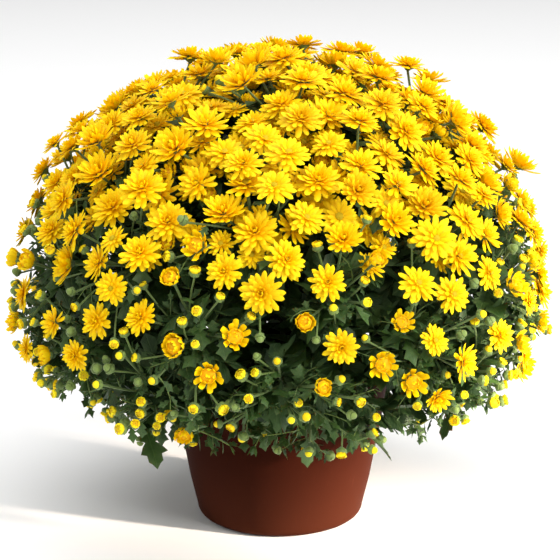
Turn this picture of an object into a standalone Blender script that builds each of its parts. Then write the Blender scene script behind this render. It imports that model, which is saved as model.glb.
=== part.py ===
"""A garden chrysanthemum in its nursery pot.

The pot is a turned plastic shell with a banded rim and drain holes. The soil fills it and has a plain hole
for each branch. Each branch is a woody stem that forks into shoots with lobed leaves, and on the end of each
shoot sits a spray: a short stalk with a slim stem to each flower head and bud. The heads lie on one dome.

The plan is made first, by rules with one seeded random draw. It keeps balls that stand for what is placed,
so that nothing touches what it doesn't grow from. Then each spray and branch is lofted between its unlike
sections, from its square stalk through three sided stems to the petals, and the leaves are joined to it.

Units are metres. +Z is up, the origin is the middle of the pot's underside, and -Y is the front.
"""

import math
import random
from dataclasses import dataclass, field

import bmesh
import bpy
from mathutils import Matrix, Vector

SEED = 255
GOLDEN = math.pi * (3 - math.sqrt(5))

# Pot: a nine inch pan
RIM_RADIUS = 0.1145
BASE_RADIUS = 0.0845
POT_HEIGHT = 0.165
WALL = 0.0024
BASE_ROUND = 0.009
RIM_BAND_HEIGHT = 0.013
RIM_BAND_STEP = 0.0025
POT_SIDES = 32
DRAIN_HOLES = 5
DRAIN_RING = 0.050
DRAIN_RADIUS = 0.006

# Soil
SOIL_TOP = 0.150
SOIL_MOUND = 0.004
STEM_HOLE_DEPTH = 0.030
STEM_HOLE_SIDES = 6
FIT_GAP = 0.0003

# Flower dome
DOME_RADIUS = 0.264
DOME_WAIST_Z = 0.225
CROWN_RISE = 0.244
SKIRT_DROP = 0.140
SKIRT_FACING = 0.200
HEART = Vector((0.0, 0.0, 0.190))
FLOWER_POLAR = math.radians(124)
SPRAY_POLAR = math.radians(113)
BRANCH_POLAR = math.radians(104)

# Branches and sprays
BRANCHES = 14
SPRAYS = 42
FLOWER_SITES = 354
SITE_CROWDING = 0.75
SITE_JITTER = 0.004
STEM_FOOT_RING = 0.074
STEM_KNEE = 0.012
STEM_AIM = 0.6
STEM_RADIUS = 0.0030
SHOOT_RADIUS = 0.0021
SHOOT_RUN = 0.35
FORK_DEPTH = 0.118
SPRAY_DEPTH = 0.072
FORK_KNOT = 0.0040
STALK_LENGTH = 0.020
STALK_RADIUS = 0.0019
STALK_KNOT = 0.0027
SECTOR_SHARE = 0.55
FLOWER_STEM_RADIUS = 0.0012
NECK_RADIUS = 0.0015
WIDEST_STEM = math.radians(72)

# Flower heads: radius and depth of the neck by kind, lean, and the sizes and depths tried in turn
HEAD_RADII = {"open": (0.0180, 0.0238), "half": (0.0100, 0.0135), "bud": (0.0050, 0.0062)}
NECK_DEPTH = {"open": 0.34, "half": 0.62, "bud": 0.96}
OPEN_FADE = (math.radians(58), math.radians(98), 0.97, 0.06)
HALF_GAIN = (math.radians(50), math.radians(85), 0.02, 0.30)
HEAD_SHRINK = (math.radians(60), math.radians(100), 1.0, 0.78)
HEAD_TILT = 0.28
HEAD_RISE = 0.22
HEAD_LEAN = 0.5
HEAD_REST = (-0.005, 0.004)
HEAD_SIZES = (1.0, 0.93, 0.86, 0.78, 0.70)
HEAD_LIFTS = (0.0, 0.007, -0.007, 0.013, -0.012)
TWO_ROW_RADIUS = 0.0234

# Clearance kept between pieces that don't belong to each other
CLEAR = 0.0009

# Stems that leave one point may touch this far along, and need more room there
NEAR_REACH = 0.011
STEM_ROOM = (0.0022, 0.0020, 0.0015)

# Leaves and skirt shoots
LEAF_LENGTH = (0.034, 0.050)
LEAF_SIZES = (1.0, 0.88, 0.76)
LEAF_STEP = 0.050
LEAF_TOP = 0.27
LEAF_ARCH = 0.28
LEAF_FOLD = 0.22
LEAF_BALL = 0.0024
LOW_FACES = (180, 60, 300)
HIGH_FACES = (180, 300, 60)
SKIRT_SHOOTS = 24
SKIRT_TRIES = 40
SKIRT_POLARS = (126, 144, 134, 150, 130, 140)
SKIRT_BRANCH_Z = 0.24
SKIRT_END_RADIUS = 0.0016
SKIRT_ROOM = 0.0025
SKIRT_BEND = math.radians(80)
BUD_RADIUS = 0.0055
WELD = 0.00002

# Leaf outline on one side of the rib: share of the length, share of the half width
LEAF_SIDE = ((0.30, 0.78), (0.42, 0.38), (0.64, 1.0))
LEAF_HALF_WIDTH = 0.30
LEAF_STALK_SHARE = 0.13
LEAF_STALK = 0.0006
LEAF_THICK = 0.0008


@dataclass
class Flower:
    """A flower head or bud and the stem that carries it."""

    kind: str
    centre: Vector
    normal: Vector
    radius: float
    spin: float
    foot: Vector


@dataclass
class Leaf:
    """A lobed leaf, from its root on the stem."""

    root: Vector
    along: Vector
    up: Vector
    length: float


@dataclass
class Spray:
    """A stalk on a shoot's end, with its flowers."""

    polar: float
    azimuth: float
    base: Vector
    axis: Vector
    flowers: list = field(default_factory=list)


@dataclass
class Branch:
    """A woody stem from the soil, its shoots, and the leaves and buds on them."""

    stem: list
    shoots: list
    leaves: list = field(default_factory=list)
    skirts: list = field(default_factory=list)
    buds: list = field(default_factory=list)
    sprays: list = field(default_factory=list)

    def way(self):
        """The way that the stem runs at its fork."""
        return (self.stem[-1] - self.stem[-2]).normalized()

    def inward(self, line):
        """The way from the end of a shoot straight back to the line of the stem."""
        back = line[0] - line[-1]
        return back - self.way() * back.dot(self.way())


class Room:
    """Keeps balls that stand for what is placed already, in a grid of cells."""

    def __init__(self, cell=0.010):
        self.cell = cell
        self.cells = {}

    def key(self, point):
        return tuple(math.floor(c / self.cell) for c in point)

    def add(self, balls, tag):
        for point, radius in balls:
            self.cells.setdefault(self.key(point), []).append((point, radius, tag))

    def is_free(self, balls, own=()):
        reach = (-1, 0, 1)
        for point, radius in balls:
            i, j, k = self.key(point)
            for cell in ((i + a, j + b, k + c) for a in reach for b in reach for c in reach):
                for other, other_radius, tag in self.cells.get(cell, ()):
                    if tag not in own and (other - point).length < radius + other_radius + CLEAR:
                        return False
        return True


def dome_point(polar, azimuth, depth=0.0):
    """The point at these angles, that far inside the dome on the way to its heart."""
    rise = CROWN_RISE if polar < math.pi / 2 else SKIRT_DROP
    out = DOME_RADIUS * math.sin(polar)
    height = DOME_WAIST_Z + rise * math.cos(polar)
    surface = Vector((out * math.cos(azimuth), out * math.sin(azimuth), height))
    return surface + (HEART - surface).normalized() * depth


def dome_normal(polar, azimuth):
    """The way that the dome faces at these angles."""
    out = (CROWN_RISE if polar < math.pi / 2 else SKIRT_FACING) * math.sin(polar)
    up = DOME_RADIUS * math.cos(polar)
    return Vector((out * math.cos(azimuth), out * math.sin(azimuth), up)).normalized()


def ramp(value, start, end, low, high):
    """Runs from low to high as value runs from start to end, and stays level past both."""
    share = min(1.0, max(0.0, (value - start) / (end - start)))
    return low + (high - low) * share


def spread(count, last_polar, crowding=0.0):
    """Angles of points spread evenly over the dome from its top, closer together at the top by crowding."""
    steps = 240
    sums = [0.0]
    for step in range(steps):
        polar = (step + 0.5) / steps * last_polar
        across = math.sin(polar) * (1.0 if polar < math.pi / 2 else 0.8)
        sums.append(sums[-1] + across * (1.0 + crowding * math.cos(polar)))
    found = []
    step = 0
    for index in range(count):
        wanted = (index + 0.5) / count * sums[-1]
        while sums[step + 1] < wanted:
            step += 1
        share = (wanted - sums[step]) / (sums[step + 1] - sums[step])
        found.append(((step + share) / steps * last_polar, index * GOLDEN % math.tau))
    return found


def chain(start, end, radius, spacing=0.004):
    """Balls along a straight stem."""
    count = max(1, math.ceil((end - start).length / spacing))
    return [(start.lerp(end, step / count), radius) for step in range(count + 1)]


def frame_of(normal, spin=0.0):
    """Two directions across normal, turned by spin."""
    side = normal.cross(Vector((0, 0, 1)) if abs(normal.z) < 0.9 else Vector((0, 1, 0))).normalized()
    other = normal.cross(side)
    return (
        side * math.cos(spin) + other * math.sin(spin),
        other * math.cos(spin) - side * math.sin(spin),
    )


def spin_towards(normal, way):
    """The turn about normal at which the first point of a ring lies towards way."""
    side, other = frame_of(normal)
    return math.atan2(way.dot(other), way.dot(side))


def ring(centre, normal, spin, count, out, height=0.0):
    """Points round a centre: out is one radius or one for each point in turn."""
    side, other = frame_of(normal, spin)
    radii = out if isinstance(out, (list, tuple)) else [out]
    points = []
    for index in range(count):
        angle = math.tau * index / count
        radius = radii[index % len(radii)]
        points.append(centre + normal * height + (side * math.cos(angle) + other * math.sin(angle)) * radius)
    return points


def head_balls(flower):
    """Balls that fill the room of a head or bud."""
    centre, normal, radius, spin = flower.centre, flower.normal, flower.radius, flower.spin
    if flower.kind == "bud":
        return [(centre, radius)]
    if flower.kind == "half":
        cup = ring(centre, normal, spin, 8, 0.76 * radius, 0.20 * radius)
        return [(p, 0.26 * radius) for p in cup] + [(centre - normal * 0.1 * radius, 0.55 * radius)]
    rim = ring(centre, normal, spin, 12, 0.88 * radius)
    middle = ring(centre, normal, spin, 6, 0.52 * radius, 0.05 * radius)
    return (
        [(p, 0.12 * radius) for p in rim]
        + [(p, 0.20 * radius) for p in middle]
        + [(centre, 0.28 * radius), (centre - normal * 0.24 * radius, 0.14 * radius)]
    )


def flower_neck(flower):
    """Where a head or bud meets its stem."""
    return flower.centre - flower.normal * flower.radius * NECK_DEPTH[flower.kind]


def kind_at(polar, draw):
    """Open heads at the top, then half open ones, and mostly buds at the skirt."""
    opened = ramp(polar, *OPEN_FADE)
    half = ramp(polar, *HALF_GAIN)
    share = draw.random()
    if share < opened:
        return "open"
    return "half" if share < opened + half else "bud"


def head_radius(kind, polar, draw):
    """Half the width of a head, by kind. Open heads are smaller towards the skirt."""
    return draw.uniform(*HEAD_RADII[kind]) * (ramp(polar, *HEAD_SHRINK) if kind == "open" else 1.0)


def place_flower(spray, polar, azimuth, draw, room, tag):
    """Tries a head at this place, further out and in and in smaller sizes, until it has room."""
    kind = kind_at(polar, draw)
    radius = head_radius(kind, polar, draw)
    tilt = Vector([draw.uniform(-HEAD_TILT, HEAD_TILT) for _ in range(3)])
    foot = spray.base + spray.axis * STALK_LENGTH
    inward = foot - dome_point(polar, azimuth)
    if (-inward).angle(spray.axis) > WIDEST_STEM:
        return
    lean = Vector((0, 0, HEAD_RISE)) - inward.normalized() * HEAD_LEAN
    normal = (dome_normal(polar, azimuth) + tilt + lean).normalized()
    spin = spin_towards(normal, inward - spray.axis * inward.dot(spray.axis))
    rest = draw.uniform(*HEAD_REST)
    for size in HEAD_SIZES:
        for lift in HEAD_LIFTS:
            centre = dome_point(polar, azimuth, rest - lift)
            flower = Flower(kind, centre, normal, radius * size, spin, foot)
            if try_flower(flower, room, tag):
                spray.flowers.append(flower)
                return


def try_flower(flower, room, tag):
    """Takes the room of a flower and its stem if it is free. Near its foot a stem may touch others."""
    neck = flower_neck(flower)
    turn_off = flower.foot + (neck - flower.foot).normalized() * NEAR_REACH
    halfway = turn_off.lerp(neck, 0.5)
    near_room, middle_room, far_room = STEM_ROOM
    near = chain(flower.foot.lerp(turn_off, 0.4), turn_off, near_room)
    far = chain(turn_off, halfway, middle_room) + chain(halfway, neck, far_room)
    own = {f"near {tag}"}
    if not (room.is_free(head_balls(flower)) and room.is_free(far, own)):
        return False
    if not room.is_free(near, own | {f"far {tag}"}):
        return False
    room.add(head_balls(flower), f"head {tag}")
    room.add(far, f"far {tag}")
    room.add(near, f"near {tag}")
    return True


def plan_sprays(room):
    """The stalks of the sprays, spread over the inside of the dome."""
    sprays = []
    for polar, azimuth in spread(SPRAYS, SPRAY_POLAR, 0.15):
        base = dome_point(polar, azimuth, SPRAY_DEPTH)
        axis = (dome_point(polar, azimuth) - base).normalized()
        room.add(chain(base, base + axis * STALK_LENGTH, STALK_RADIUS), f"near {len(sprays)}")
        sprays.append(Spray(polar, azimuth, base, axis))
    return sprays


def plan_flowers(sprays, room, draw):
    """The flowers, on sites spread over the dome, each given to the nearest spray."""
    for polar, azimuth in spread(FLOWER_SITES, FLOWER_POLAR, SITE_CROWDING):
        azimuth += draw.uniform(-SITE_JITTER, SITE_JITTER) / DOME_RADIUS
        polar += draw.uniform(-SITE_JITTER, SITE_JITTER) / DOME_RADIUS
        point = dome_point(polar, azimuth)
        crowns = [dome_point(spray.polar, spray.azimuth) for spray in sprays]
        tag = min(range(SPRAYS), key=lambda k: (crowns[k] - point).length)
        place_flower(sprays[tag], polar, azimuth, draw, room, tag)


def bezier(start, bend, end, steps):
    """Points on a curve that leaves start towards bend and comes to end."""
    points = []
    for step in range(steps + 1):
        t = step / steps
        points.append(start * (1 - t) ** 2 + bend * 2 * t * (1 - t) + end * t**2)
    return points


def plan_branches(sprays, room):
    """The woody branches: each rises from its own hole and forks to the sprays nearest to it."""
    aims = spread(BRANCHES, BRANCH_POLAR, 0.1)
    groups = [[] for _ in aims]
    for spray in sprays:
        point = dome_point(spray.polar, spray.azimuth)
        nearest = min(range(BRANCHES), key=lambda k: (dome_point(*aims[k]) - point).length)
        groups[nearest].append(spray)
    branches = []
    for index, ((polar, azimuth), members) in enumerate(zip(aims, groups)):
        out = STEM_FOOT_RING * math.sqrt((index + 0.3) / BRANCHES)
        foot = Vector((out * math.cos(azimuth), out * math.sin(azimuth), SOIL_TOP))
        floor = foot - Vector((0, 0, STEM_HOLE_DEPTH - 2 * FIT_GAP))
        middle = sum((s.base for s in members), Vector()) / len(members)
        fork = middle + (HEART - middle).normalized() * (FORK_DEPTH - SPRAY_DEPTH)
        knee = foot + Vector((0, 0, STEM_KNEE))
        bend = (knee + Vector((0, 0, 0.5 * (fork.z - foot.z)))).lerp(fork - (middle - fork), STEM_AIM)
        stem = [floor] + bezier(knee, bend, fork, 3)
        branch = Branch(stem, [], sprays=members)
        for spray in members:
            end = spray.base - spray.axis * 0.5 * FIT_GAP
            branch.shoots.append([fork, end - spray.axis * SHOOT_RUN * (end - fork).length, end])
        for line in [stem] + branch.shoots:
            for start, end in zip(line, line[1:]):
                near, far = split_balls(chain(start, end, SHOOT_RADIUS), fork)
                room.add(near, f"fork {index}")
                room.add(far, f"branch {index}")
        branches.append(branch)
    return branches


def split_balls(balls, fork):
    """Parts the balls that lie near a fork, where stems may touch, from the others."""
    near = [ball for ball in balls if (ball[0] - fork).length < NEAR_REACH]
    far = [ball for ball in balls if (ball[0] - fork).length >= NEAR_REACH]
    return near, far


def leaf_balls(leaf):
    """Balls over the blade of a leaf, in rows across it."""
    balls = []
    for share, width in ((0.22, 0.5), (0.36, 0.7), (0.5, 0.75), (0.64, 0.85), (0.78, 0.45), (0.95, 0.05)):
        for across in (-width, -0.5 * width, 0.0, 0.5 * width, width):
            balls.append((leaf_point(leaf, share, across), LEAF_BALL))
    return balls


def leaf_point(leaf, share, across, lift=0.0):
    """A point of the blade: it arches down to its tip, and its sides are raised a little."""
    side = leaf.up.cross(leaf.along).normalized()
    half = LEAF_HALF_WIDTH * leaf.length
    arch = LEAF_ARCH * (0.36 - share) * share * leaf.length
    fold = LEAF_FOLD * abs(across) * half
    out = leaf.along * share * leaf.length + side * across * half
    return leaf.root + out + leaf.up * (arch + fold + lift)


def try_leaf(branch, root, along, length, room, tag):
    """Adds a leaf if there is room for it clear of all that is placed."""
    flat = Vector((0, 0, 1)) - along * along.z
    if flat.length < 0.15:
        flat = Vector((root.x, root.y, 0)) - along * along.dot(Vector((root.x, root.y, 0)))
    leaf = Leaf(root, along, flat.normalized(), length)
    balls = leaf_balls(leaf)
    if inside_pot(balls) or not room.is_free(balls):
        return False
    room.add(balls, tag)
    branch.leaves.append(leaf)
    return True


def inside_pot(balls):
    """Whether any ball touches the pot's wall, its rim or the soil."""
    for point, radius in balls:
        out = math.hypot(point.x, point.y)
        over_rim = point.z > POT_HEIGHT + radius + CLEAR
        if not over_rim and out < wall_radius(point.z) + RIM_BAND_STEP + radius + CLEAR:
            return True
    return False


def wall_radius(height):
    """The outside of the pot's wall at this height."""
    return BASE_RADIUS + (RIM_RADIUS - BASE_RADIUS) * height / POT_HEIGHT


def turned(axis, angle, rise):
    """A direction that leaves an axis to the side, at this turn round it, and leans rise along it."""
    side, other = frame_of(axis)
    return (side * math.cos(angle) + other * math.sin(angle) + axis * rise).normalized()


def plan_leaves(branches, room, draw):
    """Leaves up each shoot, wherever they find room, and on the tops of the lower stems."""
    for index, branch in enumerate(branches):
        way = branch.way()
        tag = f"leaves {index}"
        if branch.stem[-1].z < SKIRT_BRANCH_Z:
            inward = -Vector((branch.stem[-1].x, branch.stem[-1].y, 0))
            for share in (0.55, 0.8):
                root = branch.stem[-2].lerp(branch.stem[-1], share)
                grow_leaf(branch, root, way, inward, LOW_FACES, room, tag, draw)
        for line in branch.skirts + branch.shoots:
            faces = LOW_FACES if line in branch.skirts else HIGH_FACES
            inward = branch.inward(line)
            for start, end in zip(line, line[1:]):
                if start == line[0] and end.z > LEAF_TOP:
                    continue
                axis = (end - start).normalized()
                count = max(1, round((end - start).length / LEAF_STEP))
                for step in range(count):
                    root = start.lerp(end, (step + 0.8) / count)
                    grow_leaf(branch, root, axis, inward, faces, room, tag, draw)


def grow_leaf(branch, root, axis, inward, faces, room, tag, draw):
    """Tries the faces of a shoot in turn, and shorter leaves, until one has room.

    The faces are given by their turn from the inward side, and each leaf leaves near the middle of its face.
    """
    length = draw.uniform(*LEAF_LENGTH)
    for size in LEAF_SIZES:
        for face in faces:
            turn = spin_towards(axis, inward) + math.radians(face + draw.uniform(-22, 22))
            droop = draw.uniform(0.0, 0.4) if faces is LOW_FACES else 0.1
            along = (turned(axis, turn, 0.7) - Vector((0, 0, droop))).normalized()
            if try_leaf(branch, root, along, length * size, room, tag):
                return


def plan_skirts(branches, room, draw):
    """Short drooping shoots round the bottom of the plant, each with a bud on its end."""
    low = [k for k, branch in enumerate(branches) if min(s.base.z for s in branch.sprays) < SKIRT_BRANCH_Z]
    for count in range(SKIRT_SHOOTS):
        for attempt in range(SKIRT_TRIES):
            azimuth = math.tau * (count + draw.uniform(0.0, 1.0)) / SKIRT_SHOOTS
            polar = SKIRT_POLARS[(count + attempt) % len(SKIRT_POLARS)]
            end = dome_point(math.radians(polar), azimuth, draw.uniform(0.0, 0.02))
            index = min(low, key=lambda k: (branches[k].stem[-1] - end).length)
            if try_skirt(branches[index], index, end, draw.uniform(0.010, 0.034), room):
                break


def try_skirt(branch, index, end, rise, room):
    """Adds a drooping shoot from a branch's fork to this end, with its bud, if there is room for both."""
    start = branch.stem[-1]
    line = bezier(start, start.lerp(end, 0.6) + Vector((0, 0, rise)), end, 3)
    balls = [ball for first, second in zip(line, line[1:]) for ball in chain(first, second, SKIRT_ROOM)]
    normal = (line[-1] - line[-2]).normalized()
    spin = spin_towards(normal, branch.inward(line))
    bud = Flower("bud", end + normal * 1.6 * BUD_RADIUS, normal, BUD_RADIUS, spin, end)
    near, far = split_balls(balls, start)
    far += head_balls(bud)
    if branch.way().angle(line[1] - start) > SKIRT_BEND or inside_pot(far):
        return False
    if not room.is_free(far) or not room.is_free(near, {f"fork {index}"}):
        return False
    room.add(near, f"fork {index}")
    room.add(far, f"branch {index}")
    branch.skirts.append(line)
    branch.buds.append(bud)
    return True


def stitch(bm, low, high, high_turns=None):
    """Joins two rings of vertices, of like turn but unlike number, with triangles.

    The vertices stand evenly round each ring, unless the upper ring's shares of a full turn are given.
    """
    low_turns = [i / len(low) for i in range(len(low) + 1)]
    high_turns = (high_turns or [j / len(high) for j in range(len(high))]) + [1.0]
    i = j = 0
    while i < len(low) or j < len(high):
        low_next = 0.5 * (low_turns[i] + low_turns[i + 1]) if i < len(low) else math.inf
        high_next = 0.5 * (high_turns[j] + high_turns[j + 1]) if j < len(high) else math.inf
        if low_next <= high_next:
            bm.faces.new((low[i % len(low)], low[(i + 1) % len(low)], high[j % len(high)]))
            i += 1
        else:
            bm.faces.new((low[i % len(low)], high[(j + 1) % len(high)], high[j % len(high)]))
            j += 1


def mesh_object(name, bm):
    """Puts a bmesh in a new object of the scene."""
    mesh = bpy.data.meshes.new(name)
    bm.to_mesh(mesh)
    bm.free()
    thing = bpy.data.objects.new(name, mesh)
    bpy.context.scene.collection.objects.link(thing)
    return thing


def grow_flower(bm, foot, flower):
    """The stem, then the head or bud, from the three vertices of its foot.

    An open head has a row of six pointed petals, and the largest a second row. A half open one is a cup of
    four.
    """
    centre, normal, radius, spin = flower.centre, flower.normal, flower.radius, flower.spin
    rings = [ring(flower_neck(flower), normal, spin, 3, NECK_RADIUS)]
    rise = 0.16
    if flower.kind == "bud":
        rings.append(ring(centre, normal, spin, 5, radius))
        rise = 1.0
    elif flower.kind == "half":
        rings.append(ring(centre, normal, spin, 8, [radius, 0.72 * radius], 0.34 * radius))
        rise = -0.05
    else:
        rings.append(ring(centre, normal, spin, 12, [0.68 * radius, radius]))
        if radius > TWO_ROW_RADIUS:
            rings.append(ring(centre, normal, spin, 6, 0.56 * radius, 0.24 * radius))
            rise = 0.12
    loops = [foot] + [[bm.verts.new(point) for point in points] for points in rings]
    for low, high in zip(loops, loops[1:]):
        stitch(bm, low, high)
    tip = bm.verts.new(centre + normal * rise * radius)
    for first, second in zip(loops[-1], loops[-1][1:] + loops[-1][:1]):
        bm.faces.new((first, second, tip))


def sector_bounds(turns, weights):
    """Where the sectors round a stalk's end start: each is wide enough and lies near one of these turns.

    The turns are in order. The sectors are turned together so that the weighted ones lie nearest to theirs.
    """
    count = len(turns)
    gaps = [(turns[(k + 1) % count] - turns[k]) % 1.0 for k in range(count)]
    narrow = [0.5 * (gaps[k - 1] + gaps[k]) for k in range(count)]
    widths = [max(width, SECTOR_SHARE / count) for width in narrow]
    total = sum(widths)
    bounds = [turns[0] - 0.5 * gaps[-1]]
    for width in widths[:-1]:
        bounds.append(bounds[-1] + width / total)
    off = 0.0
    for turn, bound, width, weight in zip(turns, bounds, widths, weights):
        off += weight * ((turn - bound - 0.5 * width / total + 0.5) % 1.0 - 0.5)
    return [bound + off / sum(weights) for bound in bounds]


def stalk_with_fan(bm, points, thick, knot, aims):
    """A stalk through these points that ends in a fan of triangles, a foot for what grows to each aim."""
    ways = [(end - start).normalized() for start, end in zip(points, points[1:])]
    way, end = ways[-1], points[-1]
    side, other = frame_of(way)
    count = len(aims)
    while len(aims) < 3:
        aims = aims + [2 * end - sum(aims, Vector()) / len(aims)]
    turns = [math.atan2((aim - end).dot(other), (aim - end).dot(side)) / math.tau % 1.0 for aim in aims]
    order = sorted(range(len(aims)), key=lambda k: turns[k])
    weights = [math.sin(min((aims[k] - end).angle(way), math.pi / 2)) for k in order]
    bounds = sector_bounds([turns[k] for k in order], weights)
    first = side * math.cos(bounds[0] * math.tau) + other * math.sin(bounds[0] * math.tau)
    loops = []
    for index, point in enumerate(points[:-1]):
        here = ways[0] if index == 0 else (ways[index - 1] + ways[index]).normalized()
        radius = thick + (knot - thick) * 0.5 * index / len(points)
        loops.append([bm.verts.new(p) for p in ring(point, here, spin_towards(here, first), 4, radius)])
    rim = []
    for bound in bounds:
        angle = bound * math.tau
        rim.append(bm.verts.new(end + (side * math.cos(angle) + other * math.sin(angle)) * knot))
    bm.faces.new(loops[0][::-1])
    for low, high in zip(loops, loops[1:]):
        stitch(bm, low, high)
    stitch(bm, loops[-1], rim, high_turns=[bound - bounds[0] for bound in bounds])
    hub = bm.verts.new(end + way * 0.4 * knot)
    feet = [None] * len(aims)
    for k, index in enumerate(order):
        feet[index] = [hub, rim[k], rim[(k + 1) % len(rim)]]
    for spare in feet[count:]:
        bm.faces.new(spare)
    return feet[:count]


def grow_shoot(bm, foot, line, inward, thick, thin):
    """A three sided shoot along a line from its foot. Returns the vertices of its end."""
    loop = foot
    for index in range(1, len(line)):
        here = line[index] - line[index - 1]
        if index + 1 < len(line):
            here = here.normalized() + (line[index + 1] - line[index]).normalized()
        here.normalize()
        radius = thick + (thin - thick) * index / (len(line) - 1)
        points = ring(line[index], here, spin_towards(here, inward), 3, radius)
        above = [bm.verts.new(point) for point in points]
        stitch(bm, loop, above)
        loop = above
    return loop


def leaf_solid(leaf):
    """A lobed blade, thick along its rib and thin at its edge, on a square stalk."""
    bm = bmesh.new()
    narrow = LEAF_STALK / (LEAF_HALF_WIDTH * leaf.length)
    outline = [(0.0, narrow), (LEAF_STALK_SHARE, narrow), *LEAF_SIDE]
    tip = bm.verts.new(leaf_point(leaf, 1.0, 0.0))
    sides = [
        [bm.verts.new(leaf_point(leaf, share, way * width)) for share, width in outline] + [tip]
        for way in (1, -1)
    ]
    root = []
    for way in (1, -1):
        lifts = ((0.0, LEAF_STALK), (LEAF_STALK_SHARE, LEAF_STALK), (0.46, LEAF_THICK))
        rib = [bm.verts.new(leaf_point(leaf, share, 0.0, way * lift)) for share, lift in lifts]
        root.append(rib[0])
        for edge in sides:
            bm.faces.new((rib[0], edge[0], edge[1], rib[1]))
            bm.faces.new((rib[1], edge[1], edge[2]))
            bm.faces.new((rib[1], edge[2], rib[2]))
            for near, far in zip(edge[2:], edge[3:]):
                bm.faces.new((rib[2], near, far))
    bm.faces.new((sides[0][0], root[0], sides[1][0], root[1]))
    bmesh.ops.recalc_face_normals(bm, faces=bm.faces)
    return mesh_object("leaf", bm)


def dress(thing, name, material, plant):
    """Names a finished object, gives it its material and moves it to the plant's collection."""
    thing.name = thing.data.name = name
    thing.data.materials.clear()
    thing.data.materials.append(material)
    bpy.context.scene.collection.objects.unlink(thing)
    plant.objects.link(thing)


def union(trunk, others):
    """Joins pieces to a trunk with one Boolean union on a collection, applied, and removes them."""
    pieces = bpy.data.collections.new("pieces")
    for piece in others:
        pieces.objects.link(piece)
    join = trunk.modifiers.new("Union", "BOOLEAN")
    join.operation = "UNION"
    join.operand_type = "COLLECTION"
    join.collection = pieces
    join.solver = "MANIFOLD"
    joined = bpy.data.meshes.new_from_object(trunk.evaluated_get(bpy.context.evaluated_depsgraph_get()))
    trunk.modifiers.remove(join)
    trunk.data = joined
    for piece in others:
        bpy.data.objects.remove(piece)
    bpy.data.collections.remove(pieces)


def build_spray(index, spray, material, plant):
    """A stalk with the stems and heads of its flowers, all one skin."""
    bm = bmesh.new()
    points = [spray.base + spray.axis * 0.5 * FIT_GAP, spray.base + spray.axis * STALK_LENGTH]
    feet = stalk_with_fan(bm, points, STALK_RADIUS, STALK_KNOT, [flower.centre for flower in spray.flowers])
    for foot, flower in zip(feet, spray.flowers):
        grow_flower(bm, foot, flower)
    dress(mesh_object("spray", bm), f"spray_{index + 1:02d}", material, plant)


def build_branch(index, branch, material, plant):
    """The woody stem that forks to its shoots and skirt shoots, one skin, and the leaves joined to it."""
    bm = bmesh.new()
    lines = branch.shoots + branch.skirts
    feet = stalk_with_fan(bm, branch.stem, STEM_RADIUS, FORK_KNOT, [line[-1] for line in lines])
    for foot, line in zip(feet, branch.shoots):
        bm.faces.new(grow_shoot(bm, foot, line, branch.inward(line), SHOOT_RADIUS, STALK_RADIUS))
    for foot, line, bud in zip(feet[len(branch.shoots) :], branch.skirts, branch.buds):
        end = grow_shoot(bm, foot, line, branch.inward(line), SHOOT_RADIUS, SKIRT_END_RADIUS)
        grow_flower(bm, end, bud)
    thing = mesh_object("stem", bm)
    union(thing, [leaf_solid(leaf) for leaf in branch.leaves])
    dress(thing, f"branch_{index + 1:02d}", material, plant)


def turned_solid(name, profile, plant, material):
    """A profile of (radius, height) points, whose outer side runs down, turned about the axis."""
    bm = bmesh.new()
    verts = [bm.verts.new((radius, 0, height)) for radius, height in profile]
    for low, high in zip(verts, verts[1:]):
        bm.edges.new((low, high))
    thing = mesh_object(name, bm)
    dress(thing, name, material, plant)
    screw = thing.modifiers.new("Turn", "SCREW")
    screw.steps = screw.render_steps = POT_SIDES
    screw.use_merge_vertices = True
    screw.merge_threshold = WELD
    screw.use_smooth_shade = True
    return thing


def drill(thing, places, radius, depth, sides, cutters):
    """Cuts upright holes, each from its lowest point upwards."""
    holes = bpy.data.collections.new(thing.name + "_holes")
    cutters.children.link(holes)
    for index, place in enumerate(places):
        bm = bmesh.new()
        bmesh.ops.create_cone(
            bm,
            cap_ends=True,
            segments=sides,
            radius1=radius,
            radius2=radius,
            depth=depth,
            matrix=Matrix.Translation(place + Vector((0, 0, depth / 2))),
        )
        cutter = mesh_object(f"{thing.name}_hole_{index + 1}", bm)
        bpy.context.scene.collection.objects.unlink(cutter)
        holes.objects.link(cutter)
        cutter.hide_render = True
        cutter.display_type = "WIRE"
    cut = thing.modifiers.new("Holes", "BOOLEAN")
    cut.operation = "DIFFERENCE"
    cut.operand_type = "COLLECTION"
    cut.collection = holes
    cut.solver = "EXACT"


def build_pot(plant, cutters, material):
    """The tapered shell with a round lower edge, a band round its rim, and drain holes."""
    band_foot = POT_HEIGHT - RIM_BAND_HEIGHT
    corner = [
        (
            BASE_RADIUS - BASE_ROUND * (1 - math.cos(math.radians(turn))),
            BASE_ROUND * (1 - math.sin(math.radians(turn))),
        )
        for turn in (0, 30, 60, 90)
    ]
    profile = [
        (0, WALL),
        (wall_radius(WALL) - WALL - BASE_ROUND / 2, WALL),
        (wall_radius(BASE_ROUND) - WALL, BASE_ROUND),
        (RIM_RADIUS - WALL, POT_HEIGHT),
        (RIM_RADIUS + RIM_BAND_STEP, POT_HEIGHT),
        (wall_radius(band_foot) + RIM_BAND_STEP, band_foot),
        (wall_radius(band_foot), band_foot),
    ] + corner + [(0, 0)]
    pot = turned_solid("pot", profile, plant, material)
    drains = [
        Vector((DRAIN_RING * math.cos(turn), DRAIN_RING * math.sin(turn), -WALL))
        for turn in (math.tau * k / DRAIN_HOLES for k in range(DRAIN_HOLES))
    ]
    drill(pot, drains, DRAIN_RADIUS, 3 * WALL, 8, cutters)


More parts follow.
